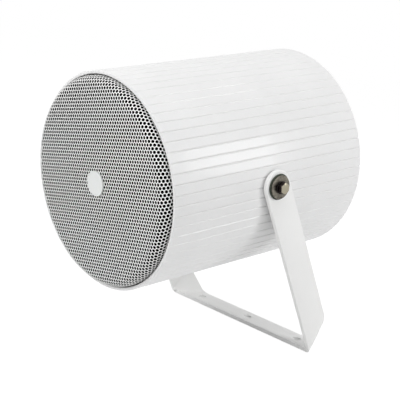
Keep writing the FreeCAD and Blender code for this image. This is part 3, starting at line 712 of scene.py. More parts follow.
def linked(name: str, data: bpy.types.ID) -> bpy.types.Object:
    """Make an object of a mesh, a camera or a lamp and link it to the scene.

    Args:
        name: The object's name.
        data: What it shows.

    Returns:
        The object.
    """
    made = bpy.data.objects.new(name, data)
    bpy.context.scene.collection.objects.link(made)
    return made


@dataclass
class Workshop:
    """Makes pieces from surfaces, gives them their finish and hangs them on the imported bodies."""

    frame: dict
    head: HeadFrame
    materials: dict[Finish, bpy.types.Material] = field(default_factory=dict)

    def material(self, finish: Finish) -> bpy.types.Material:
        """Look up a finish's material, and build it the first time it is asked for.

        Args:
            finish: The finish.

        Returns:
            Its material.
        """
        if finish not in self.materials:
            self.materials[finish] = finish.material(self.head)
        return self.materials[finish]

    def piece(
        self,
        name: str,
        surface: Surface | bpy.types.Mesh,
        finish: Finish,
        node: str,
        body: str = "head",
        in_head: bool = True,
        crease: float = 32.0,
    ) -> bpy.types.Object:
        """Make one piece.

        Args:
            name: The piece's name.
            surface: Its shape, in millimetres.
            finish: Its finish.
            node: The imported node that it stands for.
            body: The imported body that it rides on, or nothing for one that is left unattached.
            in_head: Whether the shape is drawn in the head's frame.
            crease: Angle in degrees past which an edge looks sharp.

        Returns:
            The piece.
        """
        mesh = surface.mesh(name) if isinstance(surface, Surface) else surface
        points = np.empty(len(mesh.vertices) * 3, np.float32)
        mesh.vertices.foreach_get("co", points)
        local = points.reshape(-1, 3).astype(float)
        placed = self.head.placed(local) if in_head else local * MM
        mesh.vertices.foreach_set("co", placed.astype(np.float32).ravel())
        mesh.update()
        mesh.shade_smooth()
        mesh.set_sharp_from_angle(angle=math.radians(crease))
        mesh.materials.append(self.material(finish))
        made = linked(name, mesh)
        if body:
            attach(made, body)
        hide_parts(node)
        LOG.info("%s: %d points, %d faces", name, len(mesh.vertices), len(mesh.polygons))
        return made

    def dress_kept_nodes(self) -> None:
        """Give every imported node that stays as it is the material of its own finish."""
        for finish, names in KEPT_NODES.items():
            for name in names:
                node = self.frame["nodes"][name]
                node.data.materials.clear()
                node.data.materials.append(self.material(finish))
        LOG.info("dressed %d packed nodes", sum(len(names) for names in KEPT_NODES.values()))


@dataclass
class HousingTube:
    """The drawn tube: flat slats with V grooves between them, and four screw channels inside.

    A groove is as deep as its depths say at its reaches, which count from its middle.
    """

    radius: float = TUBE_RADIUS
    bore: float = 97.0
    front: float = -116.4
    rear: float = 116.4
    slats: int = 68
    slat_steps: int = 6
    groove_reach: tuple[float, ...] = (0.0, 0.40, 0.82, 1.10)
    groove_depth: tuple[float, ...] = (0.78, 0.52, 0.12, 0.0)
    edge: float = 0.5
    edge_steps: int = 4
    channel_radius: float = 5.0
    channel_bore: float = 1.7
    channel_slot: float = 1.8
    channel_steps: int = 40
    channel_ends: tuple[float, float] = (-101.4, 108.9)

    def section(self) -> tuple[np.ndarray, np.ndarray]:
        """Work out the fluted outline.

        A slat is a chord: its radius at an angle a from its middle is R cos(h) / cos(a), with h
        half of the slat's own angle.  The groove's depth is taken off where the slats meet.

        Returns:
            Angles and radii, (n,) each.
        """
        pitch = math.tau / self.slats
        reach = np.array(self.groove_reach) / self.radius
        depth = np.array(self.groove_depth)
        half = pitch / 2 - reach[-1]
        flat = np.linspace(-half, half, self.slat_steps)[1:-1] + pitch / 2
        chord = self.radius * math.cos(half) / np.cos(flat - pitch / 2)
        offset = np.concatenate([reach, flat, pitch - reach[:0:-1]])
        radius = np.concatenate([self.radius - depth, chord, self.radius - depth[:0:-1]])
        turns = np.arange(self.slats)[:, None] * pitch
        return (turns + offset).ravel(), np.tile(radius, self.slats)

    def channel(self) -> Surface:
        """One C-shaped screw channel along the tube: two arcs round its axis, joined at the slot.

        Returns:
            The channel at angle 0.
        """
        opening = math.asin(self.channel_slot / 2 / self.channel_radius)
        turn = np.linspace(math.pi + opening, 3 * math.pi - opening, self.channel_steps)
        outside, inside = self.channel_radius * spokes(turn), self.channel_bore * spokes(turn[::-1])
        loop = np.vstack([outside, inside]) + (SCREW_CIRCLE, 0)
        count = len(loop)
        points = np.empty((2, count, 3))
        points[:, :, [0, 2]] = loop
        points[:, :, 1] = np.array(self.channel_ends)[:, None]
        wall = grid(points)
        order = np.arange(self.channel_steps)
        across = count - 1 - order
        lids = np.stack([order[:-1], order[1:], across[1:], across[:-1]], 1)
        return Surface(wall.points, wall.faces + (lids, lids[:, ::-1] + count))

    def surface(self) -> Surface:
        """The whole tube: outside, rounded rims, bore and channels.

        Returns:
            The tube.
        """
        angle, fluted = self.section()
        turn = quarter_turn(self.edge_steps)
        inset = self.edge * (1 - np.cos(turn))[::-1]
        rise = self.edge * (1 - np.sin(turn))[::-1]
        outer_y = np.concatenate([self.front + rise, self.rear - rise[::-1]])
        outer = fluted - np.concatenate([inset, inset[::-1]])[:, None]
        inner_y = [self.rear, self.rear - self.edge, self.front + self.edge, self.front]
        inner = self.bore + self.edge * np.array([[1], [0], [0], [1]])
        radius = np.vstack([outer, np.broadcast_to(inner, (len(inner), len(angle)))])
        tube = revolved(radius, np.concatenate([outer_y, inner_y])[:, None], angle)
        channel = self.channel()
        for place in SCREW_ANGLES:
            tube = tube + channel.spun(place)
        return tube

    def build(self, shop: Workshop) -> None:
        """Make the tube."""
        shop.piece("fluted_tube", self.surface(), SHADED_POWDER_COAT, "housing", crease=16.0)


@dataclass
class Grille:
    """The drawn cap of perforated sheet, its cloth and the plain badge.

    The holes are drawn 2.9 mm wide, larger than the 2.5 mm that sheet of this pitch often has,
    so that the grille keeps its dark tone in a small picture.
    """

    radius: float = 96.0
    edge: float = 8.0
    sheet: float = 0.35
    face: float = -124.9
    skirt_end: float = -107.4
    pitch: float = 3.5
    hole: float = 1.45
    break_out: float = 0.18
    hole_sides: int = 12
    row_turn: float = 10.0
    reach: float = 104.0
    bare: float = 10.2
    brim: float = 1.2
    margin: float = 2.0
    round_steps: int = 360
    cloth_gap: float = 0.75
    cloth: float = 0.5
    cloth_past: float = 3.0
    badge_radius: float = 11.6
    badge_height: float = 1.6
    badge_bead: float = 1.1
    badge_slope: float = 0.4
    badge_dish: float = 0.30
    badge_fall: float = 0.05

    @property
    def flat_end(self) -> float:
        """Flat radius at which the rounded edge starts."""
        return self.radius - self.edge

    @property
    def bend_end(self) -> float:
        """Flat radius of the sheet that ends up at the end of the rounded edge."""
        return self.flat_end + self.edge * math.pi / 2

    def drawn(self, flat: np.ndarray, depth: float) -> np.ndarray:
        """Draw the flat sheet into the cap.

        A point at flat radius s keeps its direction.  Up to the edge it stays, then it runs on a
        quarter circle by arc length, and then straight down the skirt.

        Args:
            flat: Points of the flat sheet, (n, 2).
            depth: How far behind the face the surface lies.

        Returns:
            Points in the head's frame, (n, 3).
        """
        reach = np.linalg.norm(flat, axis=1)
        towards = flat / np.maximum(reach, TINY)[:, None]
        turn = np.clip((reach - self.flat_end) / self.edge, 0, math.pi / 2)
        bend = self.edge - depth
        radius = np.minimum(reach, self.flat_end) + bend * np.sin(turn)
        down_skirt = np.maximum(reach - self.bend_end, 0)
        height = self.face + depth + bend * (1 - np.cos(turn)) + down_skirt
        return np.stack([radius * towards[:, 0], height, radius * towards[:, 1]], 1)

    def lattice(self) -> np.ndarray:
        """Lay out staggered rows of holes on the flat sheet, turned as the photograph shows.

        Returns:
            The holes' centres, (n, 2).
        """
        # Rows lie 0.87 of the pitch apart, so 1.3 times as many places reach the edge.
        count = int(self.reach / self.pitch * 1.3)
        row, place = np.mgrid[-count:count + 1, -count:count + 1]
        across = (place + 0.5 * (row % 2)) * self.pitch
        up = row * self.pitch * math.sqrt(3) / 2
        turn = math.radians(self.row_turn)
        centres = np.stack([
            across * math.cos(turn) - up * math.sin(turn),
            across * math.sin(turn) + up * math.cos(turn),
        ], -1).reshape(-1, 2)
        reach = np.linalg.norm(centres, axis=1)
        return centres[(reach < self.reach) & (reach > self.bare)]

    def surface(self) -> Surface:
        """Pierce the flat sheet, fill it with triangles, draw it and give it its thickness.

        A punched hole breaks out wider at the back, so its outline there is larger.
        The holes' outlines and two circles bound the triangles.  Those whose corners all
        lie on one hole are left out, and walls join the front to the back round each hole.
        Near the bend, points midway between three holes keep it round.

        Returns:
            The cap.
        """
        centres = self.lattice()
        turn = math.radians(self.row_turn)
        ring = self.hole * spokes(full_turn(self.hole_sides) + turn)
        holes = (centres[:, None] + ring).reshape(-1, 2)
        loops = np.arange(len(holes)).reshape(-1, self.hole_sides)
        corner = self.pitch / math.sqrt(3) * np.array([-math.sin(turn), math.cos(turn)])
        between = np.vstack([centres + corner, centres - corner])
        far = np.linalg.norm(between, axis=1)
        near_bend = (far > self.flat_end - self.margin) & (far < self.reach + self.brim)
        skirt = self.bend_end + self.skirt_end - self.face - self.edge
        compass = spokes(full_turn(self.round_steps))
        circles = np.vstack([compass * (self.reach + self.margin), compass * skirt])
        rims = len(holes) + np.arange(len(circles)).reshape(2, -1)
        edges = np.vstack([linked_points(loops), linked_points(rims)])
        flat = np.vstack([holes, circles, between[near_bend]])
        # Output type 1 keeps the triangles inside the outermost outline.
        filled = delaunay_2d_cdt(flat.tolist(), edges.tolist(), [], 1, 1e-6, True)
        flat, triangles = np.array([point[:] for point in filled[0]]), np.array(filled[2])
        owner = np.full(len(flat), -1)
        owner[:len(holes)] = np.repeat(np.arange(len(centres)), self.hole_sides)
        owners = owner[triangles]
        plug = (owners[:, 0] >= 0) & (owners == owners[:, :1]).all(1)
        triangles = triangles[~plug]
        behind = flat.copy()
        behind[:len(holes)] += np.tile(ring * self.break_out / self.hole, (len(centres), 1))
        points = np.vstack([self.drawn(flat, 0.0), self.drawn(behind, self.sheet)])
        sides = np.vstack([linked_points(loops), linked_points(rims[1:])])
        walls = np.hstack([sides, sides[:, ::-1] + len(flat)])
        return Surface(points, (triangles, triangles[:, ::-1] + len(flat), walls))

    def backing(self) -> Surface:
        """The cloth behind the holes, drawn as the cap is, down to the last of them.

        Returns:
            The cloth.
        """
        reach = np.concatenate([
            np.linspace(0, self.flat_end, 12),
            np.linspace(self.flat_end + 1, self.bend_end, 14),
            [self.reach + self.cloth_past],
        ])
        line = np.stack([reach, np.zeros_like(reach)], 1)
        depth = self.sheet + self.cloth_gap
        front = self.drawn(line, depth)[:, :2]
        back = self.drawn(line, depth + self.cloth)[::-1, :2]
        return turned(np.vstack([front, back]), steps=180)

    def badge(self) -> Surface:
        """A plain disc with a low bead round its rim.

        Returns:
            The badge.
        """
        front = self.face - self.badge_height
        bead = self.badge_radius - self.badge_bead
        return turned(rounded([
            (0.0, front + self.badge_dish + self.badge_fall, 0.0),
            (bead - self.badge_slope, front + self.badge_dish, 0.3),
            (bead, front, 0.2),
            (self.badge_radius, front, 0.45),
            (self.badge_radius, self.face, 0.05),
            (0.0, self.face, 0.0),
        ]), steps=96)

    def build(self, shop: Workshop) -> None:
        """Make the cap, the cloth and the badge.

        Args:
            shop: Where they are made.
        """
        shop.piece("perforated_cap", self.surface(), BAR_COAT, "front_grille", crease=50.0)
        shop.piece("backing_cloth", self.backing(), KNIT_CLOTH, "grille_cloth")
        shop.piece("plain_badge", self.badge(), PAINTED_DISC, "badge")


@dataclass
class FoldedBar:
    """The flat bar folded twice at each corner, with round arm ends and three fixing holes.

    Run and rise say how far the bar's back edge cuts off each corner, lead how far the front
    edge does, and each fold has the length that its arc takes from the front and back edges.
    """

    width: float = 30.0
    thickness: float = BAR_THICKNESS
    half_width: float = ARM_OUTER
    lean: float = 32.7
    length: float = 186.5
    run: float = 23.0
    rise: float = 23.6
    lead: float = 3.6
    base_fold: tuple[float, float] = (2.9, 9.0)
    arm_fold: tuple[float, float] = (1.4, 8.0)
    edge: float = 0.7
    edge_steps: int = 5
    hole: float = 4.25
    hole_flare: float = 0.42
    hole_pitch: float = 72.0
    fold_steps: int = 14
    eye_steps: int = 41
    along: np.ndarray = field(init=False)
    across: np.ndarray = field(init=False)

    def __post_init__(self) -> None:
        """Work out the arm's two directions."""
        lean = math.radians(self.lean)
        self.along = np.array([0.0, -math.sin(lean), math.cos(lean)])
        self.across = np.array([0.0, math.cos(lean), math.sin(lean)])

    def fold(
        self,
        corners: np.ndarray,
        ways: np.ndarray,
        setbacks: tuple[float, float],
        normals: np.ndarray,
    ) -> np.ndarray:
        """Round one fold.

        Each edge of the bar turns from one way to the next on an arc whose radius is its setback
        over tan(turn / 2), and the bar's normal turns evenly with it.

        Args:
            corners: Sharp corner of the front and back edge, (2, 3).
            ways: Way into and out of the corner at each edge, (2, 2, 3).
            setbacks: Length that the arc takes from each edge.
            normals: Outward normals before and after, (2, 3).

        Returns:
            Rulings, (steps, 3, 3): front point, back point and normal.
        """
        setback = np.array(setbacks)[:, None]
        way_in, way_out = ways[:, 0], ways[:, 1]
        turn = np.arccos((way_in * way_out).sum(1, keepdims=True))
        radius = setback / np.tan(turn / 2)
        centre = corners + unit(way_out - way_in) * radius / np.cos(turn / 2)
        start = (corners - way_in * setback - centre) / radius
        end = (corners + way_out * setback - centre) / radius
        shares = np.linspace(0, 1, self.fold_steps)
        edges = centre[:, None] + radius[:, None] * swept(start, end, shares)
        return np.stack([*edges, swept(normals[0], normals[1], shares)], 1)

    def rulings(self) -> np.ndarray:
        """Lay out the bar from the left pivot to the right one.

        Returns:
            Rulings on the outer face, (n, 3, 3).
        """
        out, down = np.array([1.0, 0, 0]), np.array([0, 0, -1.0])
        front = np.array([0, -self.width / 2, 0])
        corner = front + out * self.half_width
        base_back = np.array([self.half_width - self.run, self.width / 2, 0])
        arm_back = corner + self.along * self.rise + self.across * self.width
        apex = corner - (0, self.lead, 0)
        base_front = apex + (base_back - apex) * self.lead / (self.width + self.lead)
        lead = self.lead * self.across[1]
        arm_front = apex + (arm_back - apex) * lead / (self.width + lead)
        facet = unit(np.cross(arm_back - base_back, base_front - base_back))
        facet = facet * np.sign(facet[0])
        slants = unit(np.stack([arm_front - base_front, arm_back - base_back]))
        into = np.stack([np.stack([out, slant]) for slant in slants])
        onto = np.stack([np.stack([slant, self.along]) for slant in slants])
        base, arm = np.stack([base_front, base_back]), np.stack([arm_front, arm_back])
        low = self.fold(base, into, self.base_fold, np.stack([down, facet]))
        high = self.fold(arm, onto, self.arm_fold, np.stack([facet, out]))
        pivot = corner + self.along * self.length
        last = np.stack([pivot, pivot + self.across * self.width, out])[None]
        right = np.concatenate([low, high, last])
        return np.concatenate([right[::-1] * (-1, 1, 1), right])

    def profile(self) -> np.ndarray:
        """Work out the bar's outline, with its edges rounded.

        Returns:
            Share of the bar's width, millimetres from there, and depth, (n, 3).
        """
        turn = quarter_turn(self.edge_steps)
        far = self.edge * (1 - np.sin(turn))
        near = self.edge * (1 - np.cos(turn))
        side = np.ones(self.edge_steps)
        back_outer = np.stack([side, -far, near], 1)
        back_inner = np.stack([side, -far[::-1], self.thickness - near[::-1]], 1)
        front_inner = back_inner[::-1] * (0, -1, 1)
        front_outer = back_outer[::-1] * (0, -1, 1)
        outer, inner = [[0.5, 0, 0]], [[0.5, 0, self.thickness]]
        return np.vstack([outer, back_outer, back_inner, inner, front_inner, front_outer])

    def eye(self, side: int) -> Surface:
        """Make the round end of one arm: half of the outline turned half a turn about the pivot.

        Args:
            side: 1 for the right arm, -1 for the left one.

        Returns:
            The arm's end.
        """
        outline = self.profile()[:2 + 2 * self.edge_steps]
        reach = np.where(outline[:, 0] < 1, 0, self.width / 2 + outline[:, 1])
        angle = np.linspace(-math.pi / 2, math.pi / 2, self.eye_steps)[:, None, None]
        towards = self.across * np.sin(angle) + self.along * np.cos(angle)
        corner = np.array([self.half_width, -self.width / 2, 0])
        centre = corner + self.along * self.length + self.across * self.width / 2
        points = centre + towards * reach[:, None] - np.array([1.0, 0, 0]) * outline[:, 2:]
        return grid(points * (side, 1, 1), close_columns=False)

    def surface(self) -> Surface:
        """Carry the outline along the rulings and close both ends with their eyes.

        Returns:
            The bar without its holes.
        """
        rulings = self.rulings()[:, :, None]
        front, back, normal = rulings[:, 0], rulings[:, 1], rulings[:, 2]
        share, offset, depth = self.profile().T[:, None, :, None]
        points = front + (back - front) * share + unit(back - front) * offset - normal * depth
        return grid(points) + self.eye(1) + self.eye(-1)

    def cutter(self) -> Surface:
        """Make the three holes, each flared at both faces so that its rims come out rounded.

        Returns:
            The three plugs that are cut out, each 1 mm longer than the bar is thick at both ends.
        """
        turn = quarter_turn(self.edge_steps)
        flare = self.hole + self.hole_flare * (1 - np.sin(turn))
        low = np.concatenate([[-1, -1], self.hole_flare * (1 - np.cos(turn))])
        radius = np.concatenate([[0, flare[0]], flare, flare[::-1], [flare[0], 0]])
        height = np.concatenate([low, self.thickness - low[::-1]])
        one = turned(np.stack([radius, height], 1), steps=64, closed=False)
        plug = Surface(one.points[:, [0, 2, 1]], one.faces)
        right = plug.shifted(self.hole_pitch, 0, 0)
        return plug + right + plug.shifted(-self.hole_pitch, 0, 0)

    def build(self, shop: Workshop) -> None:
        """Make the bar and cut its holes.

        Args:
            shop: Where it is made.
        """
        solid = linked("bar_solid", self.surface().mesh("bar_solid"))
        tool = linked("bar_holes", self.cutter().mesh("bar_holes"))
        cut = solid.modifiers.new("holes", "BOOLEAN")
        cut.operation = "DIFFERENCE"
        cut.solver = "EXACT"
        cut.object = tool
        bpy.context.view_layer.update()
        seen = solid.evaluated_get(bpy.context.evaluated_depsgraph_get())
        mesh = bpy.data.meshes.new_from_object(seen)
        for made in (solid, tool):
            bpy.data.objects.remove(made)
        mesh.name = "folded_bar"
        shop.piece(
            "folded_bar", mesh, BAR_COAT, "mounting_bracket", "bracket", in_head=False, crease=40.0,
        )


@dataclass
class PivotHardware:
    """The bolts and washers that clamp the arms to the tube, from the tube outwards.

    Gap and air keep the faces of neighbours apart.  The split is half an angle in radians, and
    faces the angle in degrees that it is at.
    """

    tube: float = TUBE_RADIUS
    arm_inner: float = ARM_OUTER - BAR_THICKNESS
    arm_outer: float = ARM_OUTER
    gap: float = 0.05
    air: float = 0.02
    play: float = 0.2
    spring_play: float = 0.15
    spacer_radius: float = 11.0
    rubber_radius: float = 12.0
    rubber: float = 1.6
    flat_radius: float = 10.9
    flat: float = 1.5
    spring_radius: float = 5.9
    spring: float = 1.6
    spring_split: float = 0.12
    spring_lift: float = 0.25
    split_at: float = 70.0
    coil_steps: int = 90
    bolt_radius: float = 3.0
    head_flats: float = 10.0
    head_height: float = 4.0
    face_share: float = 0.475
    chamfer: float = 1.6
    tip: float = 79.0

    @property
    def seats(self) -> tuple[float, float, float, float]:
        """Where the rubber disc, flat washer, split washer and bolt head start on the axis."""
        starts = np.cumsum([self.arm_outer + self.gap, self.rubber, self.flat, self.spring])
        return tuple(starts.tolist())

    def washer(self, outer: float, start: float, end: float, edge: float) -> Surface:
        """Make a flat ring on the pivot axis with rounded edges, and its mirror image.

        Args:
            outer: Outer radius.
            start: Where it starts on the axis.
            end: Where it ends.
            edge: Rounding of its outer edges.

        Returns:
            Both rings.
        """
        inner = self.bolt_radius + self.play
        corners = [(inner, start, 0.1), (outer, start, edge), (outer, end, edge), (inner, end, 0.1)]
        return turned(rounded(corners), steps=96).along_x().mirrored()

    def lock_washer(self) -> Surface:
        """The split washer: a square section carried round a little less than a turn.

        Its two ends stand a quarter of a millimetre apart along the axis, as a pressed coil does.

        Returns:
            Both split washers.
        """
        inner, outer = self.bolt_radius + self.spring_play, self.spring_radius
        top = self.spring - self.air - self.spring_lift
        low = self.air
        section = rounded([
            (inner, low, 0.15), (outer, low, 0.25), (outer, top, 0.25), (inner, top, 0.15),
        ])
        turn = np.linspace(self.spring_split, math.tau - self.spring_split, self.coil_steps)
        angle = turn[:, None] + math.radians(self.split_at)
        lift = np.linspace(0, self.spring_lift, self.coil_steps)[:, None]
        radius, along = section[:, 0], section[:, 1]
        place = self.seats[2] + along + lift
        coil = grid(np.stack([place, radius * np.cos(angle), radius * np.sin(angle)], -1))
        first = np.arange(len(section))[None, ::-1]
        last = first[:, ::-1] + (self.coil_steps - 1) * len(section)
        return Surface(coil.points, coil.faces + (first, last)).mirrored()

    def bolt(self) -> Surface:
        """The hexagon head, chamfered at 30 degrees on top, and its shank.

        Returns:
            Both bolts.
        """
        seat = self.seats[3]
        top = seat + self.head_height
        drop = np.linspace(0, self.chamfer, 9)
        widening = self.head_flats * self.face_share + drop * math.tan(math.radians(60))
        chamfer = np.stack([widening, top - drop], 1)
        # Shares of the width across flats, and heights above the seat: a turned face, then out
        # past the hexagon's corners.
        foot = np.array([[0, 0], [0.46, 0], [0.50, 0.1], [0.72, 0.4]]) * (self.head_flats, 1)
        outline = np.vstack([foot + (0, seat), chamfer[::-1], [0, top]])
        head = hexagonal(outline, self.head_flats, softness=0.12)
        inside = seat + 0.5
        shank = rounded([
            (0.0, self.tip, 0.0), (self.bolt_radius, self.tip, 0.8),
            (self.bolt_radius, inside, 0.0), (0.0, inside, 0.0),
        ])
        return (head + turned(shank, steps=48)).along_x().mirrored()

    def build(self, shop: Workshop) -> None:
        """Make the bolts and the four kinds of washer.

        Args:
            shop: Where they are made.
        """
        rubber, flat, spring, _ = self.seats
        spacer_start, spacer_end = self.tube + self.air, self.arm_inner - self.gap
        spacers = self.washer(self.spacer_radius, spacer_start, spacer_end, 0.2)
        discs = self.washer(self.rubber_radius, rubber, flat - self.air, 0.7)
        plates = self.washer(self.flat_radius, flat, spring - self.air, 0.3)
        shop.piece("spacer_washers", spacers, WHITE_NYLON, "inner_washers")
        shop.piece("rubber_discs", discs, BLACK_RUBBER, "rubber_washers")
        shop.piece("plain_washers", plates, STAINED_AND_SHADED_ZINC, "flat_washers")
        shop.piece("lock_washers", self.lock_washer(), BLACKED_STEEL, "spring_washers")
        shop.piece("hexagon_bolts", self.bolt(), FORGED_HEAD, "pivot_bolts")


@dataclass
class BackCover:
    """The cover with its low round rib, its four screws and the cable gland.

    Each slot of a screw's recess is full to its half width less the blend, and to its reach less
    the end, and its depth falls by the taper for each millimetre from the middle.
    """

    radius: float = 96.6
    inner: float = 110.4
    outer: float = 114.4
    rib: tuple[float, float, float] = (62.0, 65.0, 1.2)
    screw_radius: float = 3.9
    screw_height: float = 2.6
    shank: float = 2.0
    screw_length: float = 14.0
    slot_half: float = 0.62
    slot_blend: float = 0.22
    slot_reach: float = 1.95
    slot_end: float = 0.5
    slot_depth: float = 1.5
    slot_taper: float = 0.25
    gland_z: float = -48.0
    gland_flats: float = 24.0
    gland_corner: float = 14.2
    bore: float = 5.5
    nut_start: float = 5.2
    nut_length: float = 14.0
    nut_bore: float = 9.05
    nut_depth: float = 11.3
    dome: float = 4.6
    stem: float = 9.0
    thread_length: float = 10.0
    thread_pitch: float = 1.5
    thread_crest: float = 10.0
    thread_root: float = 9.4

    def cover(self) -> Surface:
        """The plate: rounded rim, and a rib with a soft top.

        Returns:
            The plate.
        """
        low, high, rise = self.rib
        return turned(rounded([
            (0.0, self.outer, 0.0),
            (low, self.outer, 0.4),
            (low, self.outer + rise, 0.5),
            (high, self.outer + rise, 0.5),
            (high, self.outer, 0.4),
            (self.radius, self.outer, 0.9),
            (self.radius, self.inner, 0.2),
            (0.0, self.inner, 0.0),
        ]), steps=180)

    def screw(self) -> Surface:
        """One pan-head screw with a cross recess, seated at height 0 on the axis.

        The head's height is H (1 - (r / R)^3)^(1/2.2).  Two crossed slots whose depth falls off
        towards their ends are taken off it.

        Returns:
            The screw.
        """
        recess, rim = np.linspace(0, 2.1, 17), np.linspace(2.3, self.screw_radius, 12)
        reach = np.concatenate([recess, rim])[:, None]
        angle = full_turn(72)
        across, up = np.abs(reach * np.cos(angle)), np.abs(reach * np.sin(angle))
        share = np.clip(reach / self.screw_radius, 0, 1)
        domed = self.screw_height * (1 - share ** 3) ** (1 / 2.2)
        narrow, length = np.minimum(across, up), np.maximum(across, up)
        slot = np.clip((self.slot_half - narrow) / self.slot_blend, 0, 1)
        slot = slot * np.clip((self.slot_reach - length) / self.slot_end, 0, 1)
        depth = slot * np.clip(self.slot_depth - self.slot_taper * length, 0, self.slot_depth)
        head = revolved(reach, domed - depth, angle, closed=False)
        shank = rounded([
            (self.screw_radius, 0.0, 0.0), (self.shank, 0.0, 0.0),
            (self.shank, 1 - self.screw_length, 0.0), (0.4, -self.screw_length, 0.1),
            (0.0, -self.screw_length, 0.0),
        ], steps=2)
        return head + turned(shank[:-2], steps=72, closed=False)

    def screws(self) -> Surface:
        """The four screws of the cover.

        Returns:
            All four.
        """
        one = self.screw()
        first, *others = [
            one.shifted(SCREW_CIRCLE * math.cos(a), self.outer, SCREW_CIRCLE * math.sin(a))
            for a in SCREW_ANGLES
        ]
        return sum(others, start=first)

    def gland_nut(self) -> Surface:
        """The domed cap nut: a hexagon that runs out into a round dome, with the cable's bore.

        Returns:
            The nut.
        """
        start, bore = self.outer + self.nut_start, self.bore
        end = start + self.nut_length
        turn = quarter_turn(8)
        dome = self.dome * spokes(turn) + (8.2, end - self.dome)
        outline = np.vstack([
            [bore, start + self.nut_depth + 0.1], [self.nut_bore, start + self.nut_depth],
            [self.nut_bore, start], [12.6, start], [13.4, start + 0.5],
            [self.gland_corner, start + 1.2], [self.gland_corner, end - self.dome - 1.0],
            dome, [bore + 0.6, end], [bore, end - 0.5],
        ])
        return hexagonal(outline, self.gland_flats, softness=0.25).shifted(0, 0, self.gland_z)

    def gland_body(self) -> Surface:
        """The hexagon flange on the cover, the collar under the nut and the threaded stem inside.

        Returns:
            The gland's body.
        """
        start, low = self.inner - self.thread_length, self.outer
        ridges = np.arange(start + 0.8, self.inner - 0.6, self.thread_pitch / 2)
        crest = np.tile([self.thread_crest, self.thread_root], len(ridges))[:len(ridges)]
        flange, collar = low + 5.0, low + 14.0
        outline = np.vstack([
            [self.bore, start], [9.3, start], np.stack([crest, ridges], 1), [9.9, low],
            [12.6, low], [13.5, low + 0.4], [self.gland_corner, low + 0.9],
            [self.gland_corner, flange - 0.8], [12.6, flange], [self.stem, flange],
            [self.stem, collar], [self.bore, collar],
        ])
        return hexagonal(outline, self.gland_flats, softness=0.2).shifted(0, 0, self.gland_z)

    def build(self, shop: Workshop) -> None:
        """Make the cover, its screws and the gland.

        Args:
            shop: Where they are made.
        """
        shop.piece("back_plate_cover", self.cover(), SHADED_POWDER_COAT, "rear_cover")
        shop.piece("cover_screws", self.screws(), DULL_ZINC, "rear_cover_screws")
        shop.piece("gland_cap_nut", self.gland_nut(), GREY_NYLON, "gland_nut")
        shop.piece("gland_stem", self.gland_body(), GREY_NYLON, "gland_body")


@dataclass
class Suspension:
    """The two soft rings that let the cone move: the half-roll edge and the corrugated disc."""

    flange: float = -110.2
    cone_radius: float = 61.0
    flange_inner: float = 73.0
    lip: float = 3.0
    roll: float = 5.0
    roll_steps: int = 25
    edge_sheet: float = 0.7
    neck: float = 13.4
    ledge_radius: float = 49.5
    ledge_depth: float = 30.0
    disc_sheet: float = 0.5
    disc_flat: float = 8.0
    disc_steps: int = 90
    waves: int = 5
    wave_height: float = 0.91
    wave_lift: float = 0.49
    round_steps: int = 144

    def edge(self) -> Surface:
        """The half roll: two arcs a sheet apart, (m + p cos t, y - p sin t), and two flat lips.

        Returns:
            The half-roll edge.
        """
        middle = (self.cone_radius + self.flange_inner) / 2
        turn = np.linspace(math.pi, 0, self.roll_steps)
        front, back = self.roll, self.roll - self.edge_sheet
        high, low = self.flange, self.flange - self.edge_sheet
        over = (middle, low) + front * spokes(-turn)
        under = (middle, high) + back * spokes(-turn[::-1])
        inner, outer = self.cone_radius - self.lip, self.flange_inner + self.lip
        outline = [[inner, high], [inner, low], over, [outer, low], [outer, high], under]
        return turned(np.vstack(outline), self.round_steps)

    def disc(self) -> Surface:
        """The corrugated disc: a sine of the radius that fades in at both ends.

        Returns:
            The centring disc.
        """
        ledge = self.flange + self.ledge_depth
        radius = np.linspace(self.neck, self.ledge_radius, self.disc_steps)
        span = self.ledge_radius - self.disc_flat - self.neck
        share = np.clip((radius - self.neck) / span, 0, 1)
        fade = np.clip(np.minimum(share, 1 - share) * 2 * self.waves, 0, 1)
        ripple = np.sin(math.tau * self.waves * share)
        wave = -fade * (self.wave_lift + self.wave_height * ripple)
        front = np.stack([radius, ledge - self.disc_sheet + wave], 1)
        back = front[::-1] + (0, self.disc_sheet)
        return turned(np.vstack([front, back]), self.round_steps)

    def bend(self, piece: bpy.types.Object, head: HeadFrame, inner: float, outer: float) -> None:
        """Bake a ring's placement into its mesh and read its points; the ring is not bent.

        Args:
            piece: The ring.
            head: The head's frame; not used.
            inner: Radius from which it would follow the cone, in millimetres; not used.
            outer: Radius from which it would follow the head; not used.
        """
        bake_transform(piece)
        points = np.empty(len(piece.data.vertices) * 3, np.float32)
        piece.data.vertices.foreach_get("co", points)

    def build(self, shop: Workshop) -> None:
        """Make both rings and bake their placement into their meshes, unbent.

        Args:
            shop: Where they are made.
        """
        edge = shop.piece("half_roll_edge", self.edge(), BLACK_RUBBER, "surround", body="")
        disc = shop.piece("centring_disc", self.disc(), TREATED_COTTON, "spider", body="")
        self.bend(edge, shop.head, self.cone_radius, self.flange_inner)
        self.bend(disc, shop.head, self.neck + 0.5, self.ledge_radius - self.disc_flat)


@dataclass(frozen=True)
class Lamp:
    """A square soft lamp: its place and its side in metres, and its power in watts."""

    name: str
    place: tuple[float, float, float]
    size: float
    power: float


LAMPS = (
    Lamp("overhead", (0.5, -0.6, 1.9), 1.4, 10.8),
    Lamp("key", (1.285, 0.639, 0.764), 0.58, 8.3),
    Lamp("front_fill", (-0.35, -2.12, 1.17), 1.2, 24.0),
    Lamp("left_fill", (-1.84, -0.68, 1.43), 1.2, 6.5),
    Lamp("rear_fill", (-0.23, 2.08, 0.86), 1.2, 6.0),
)


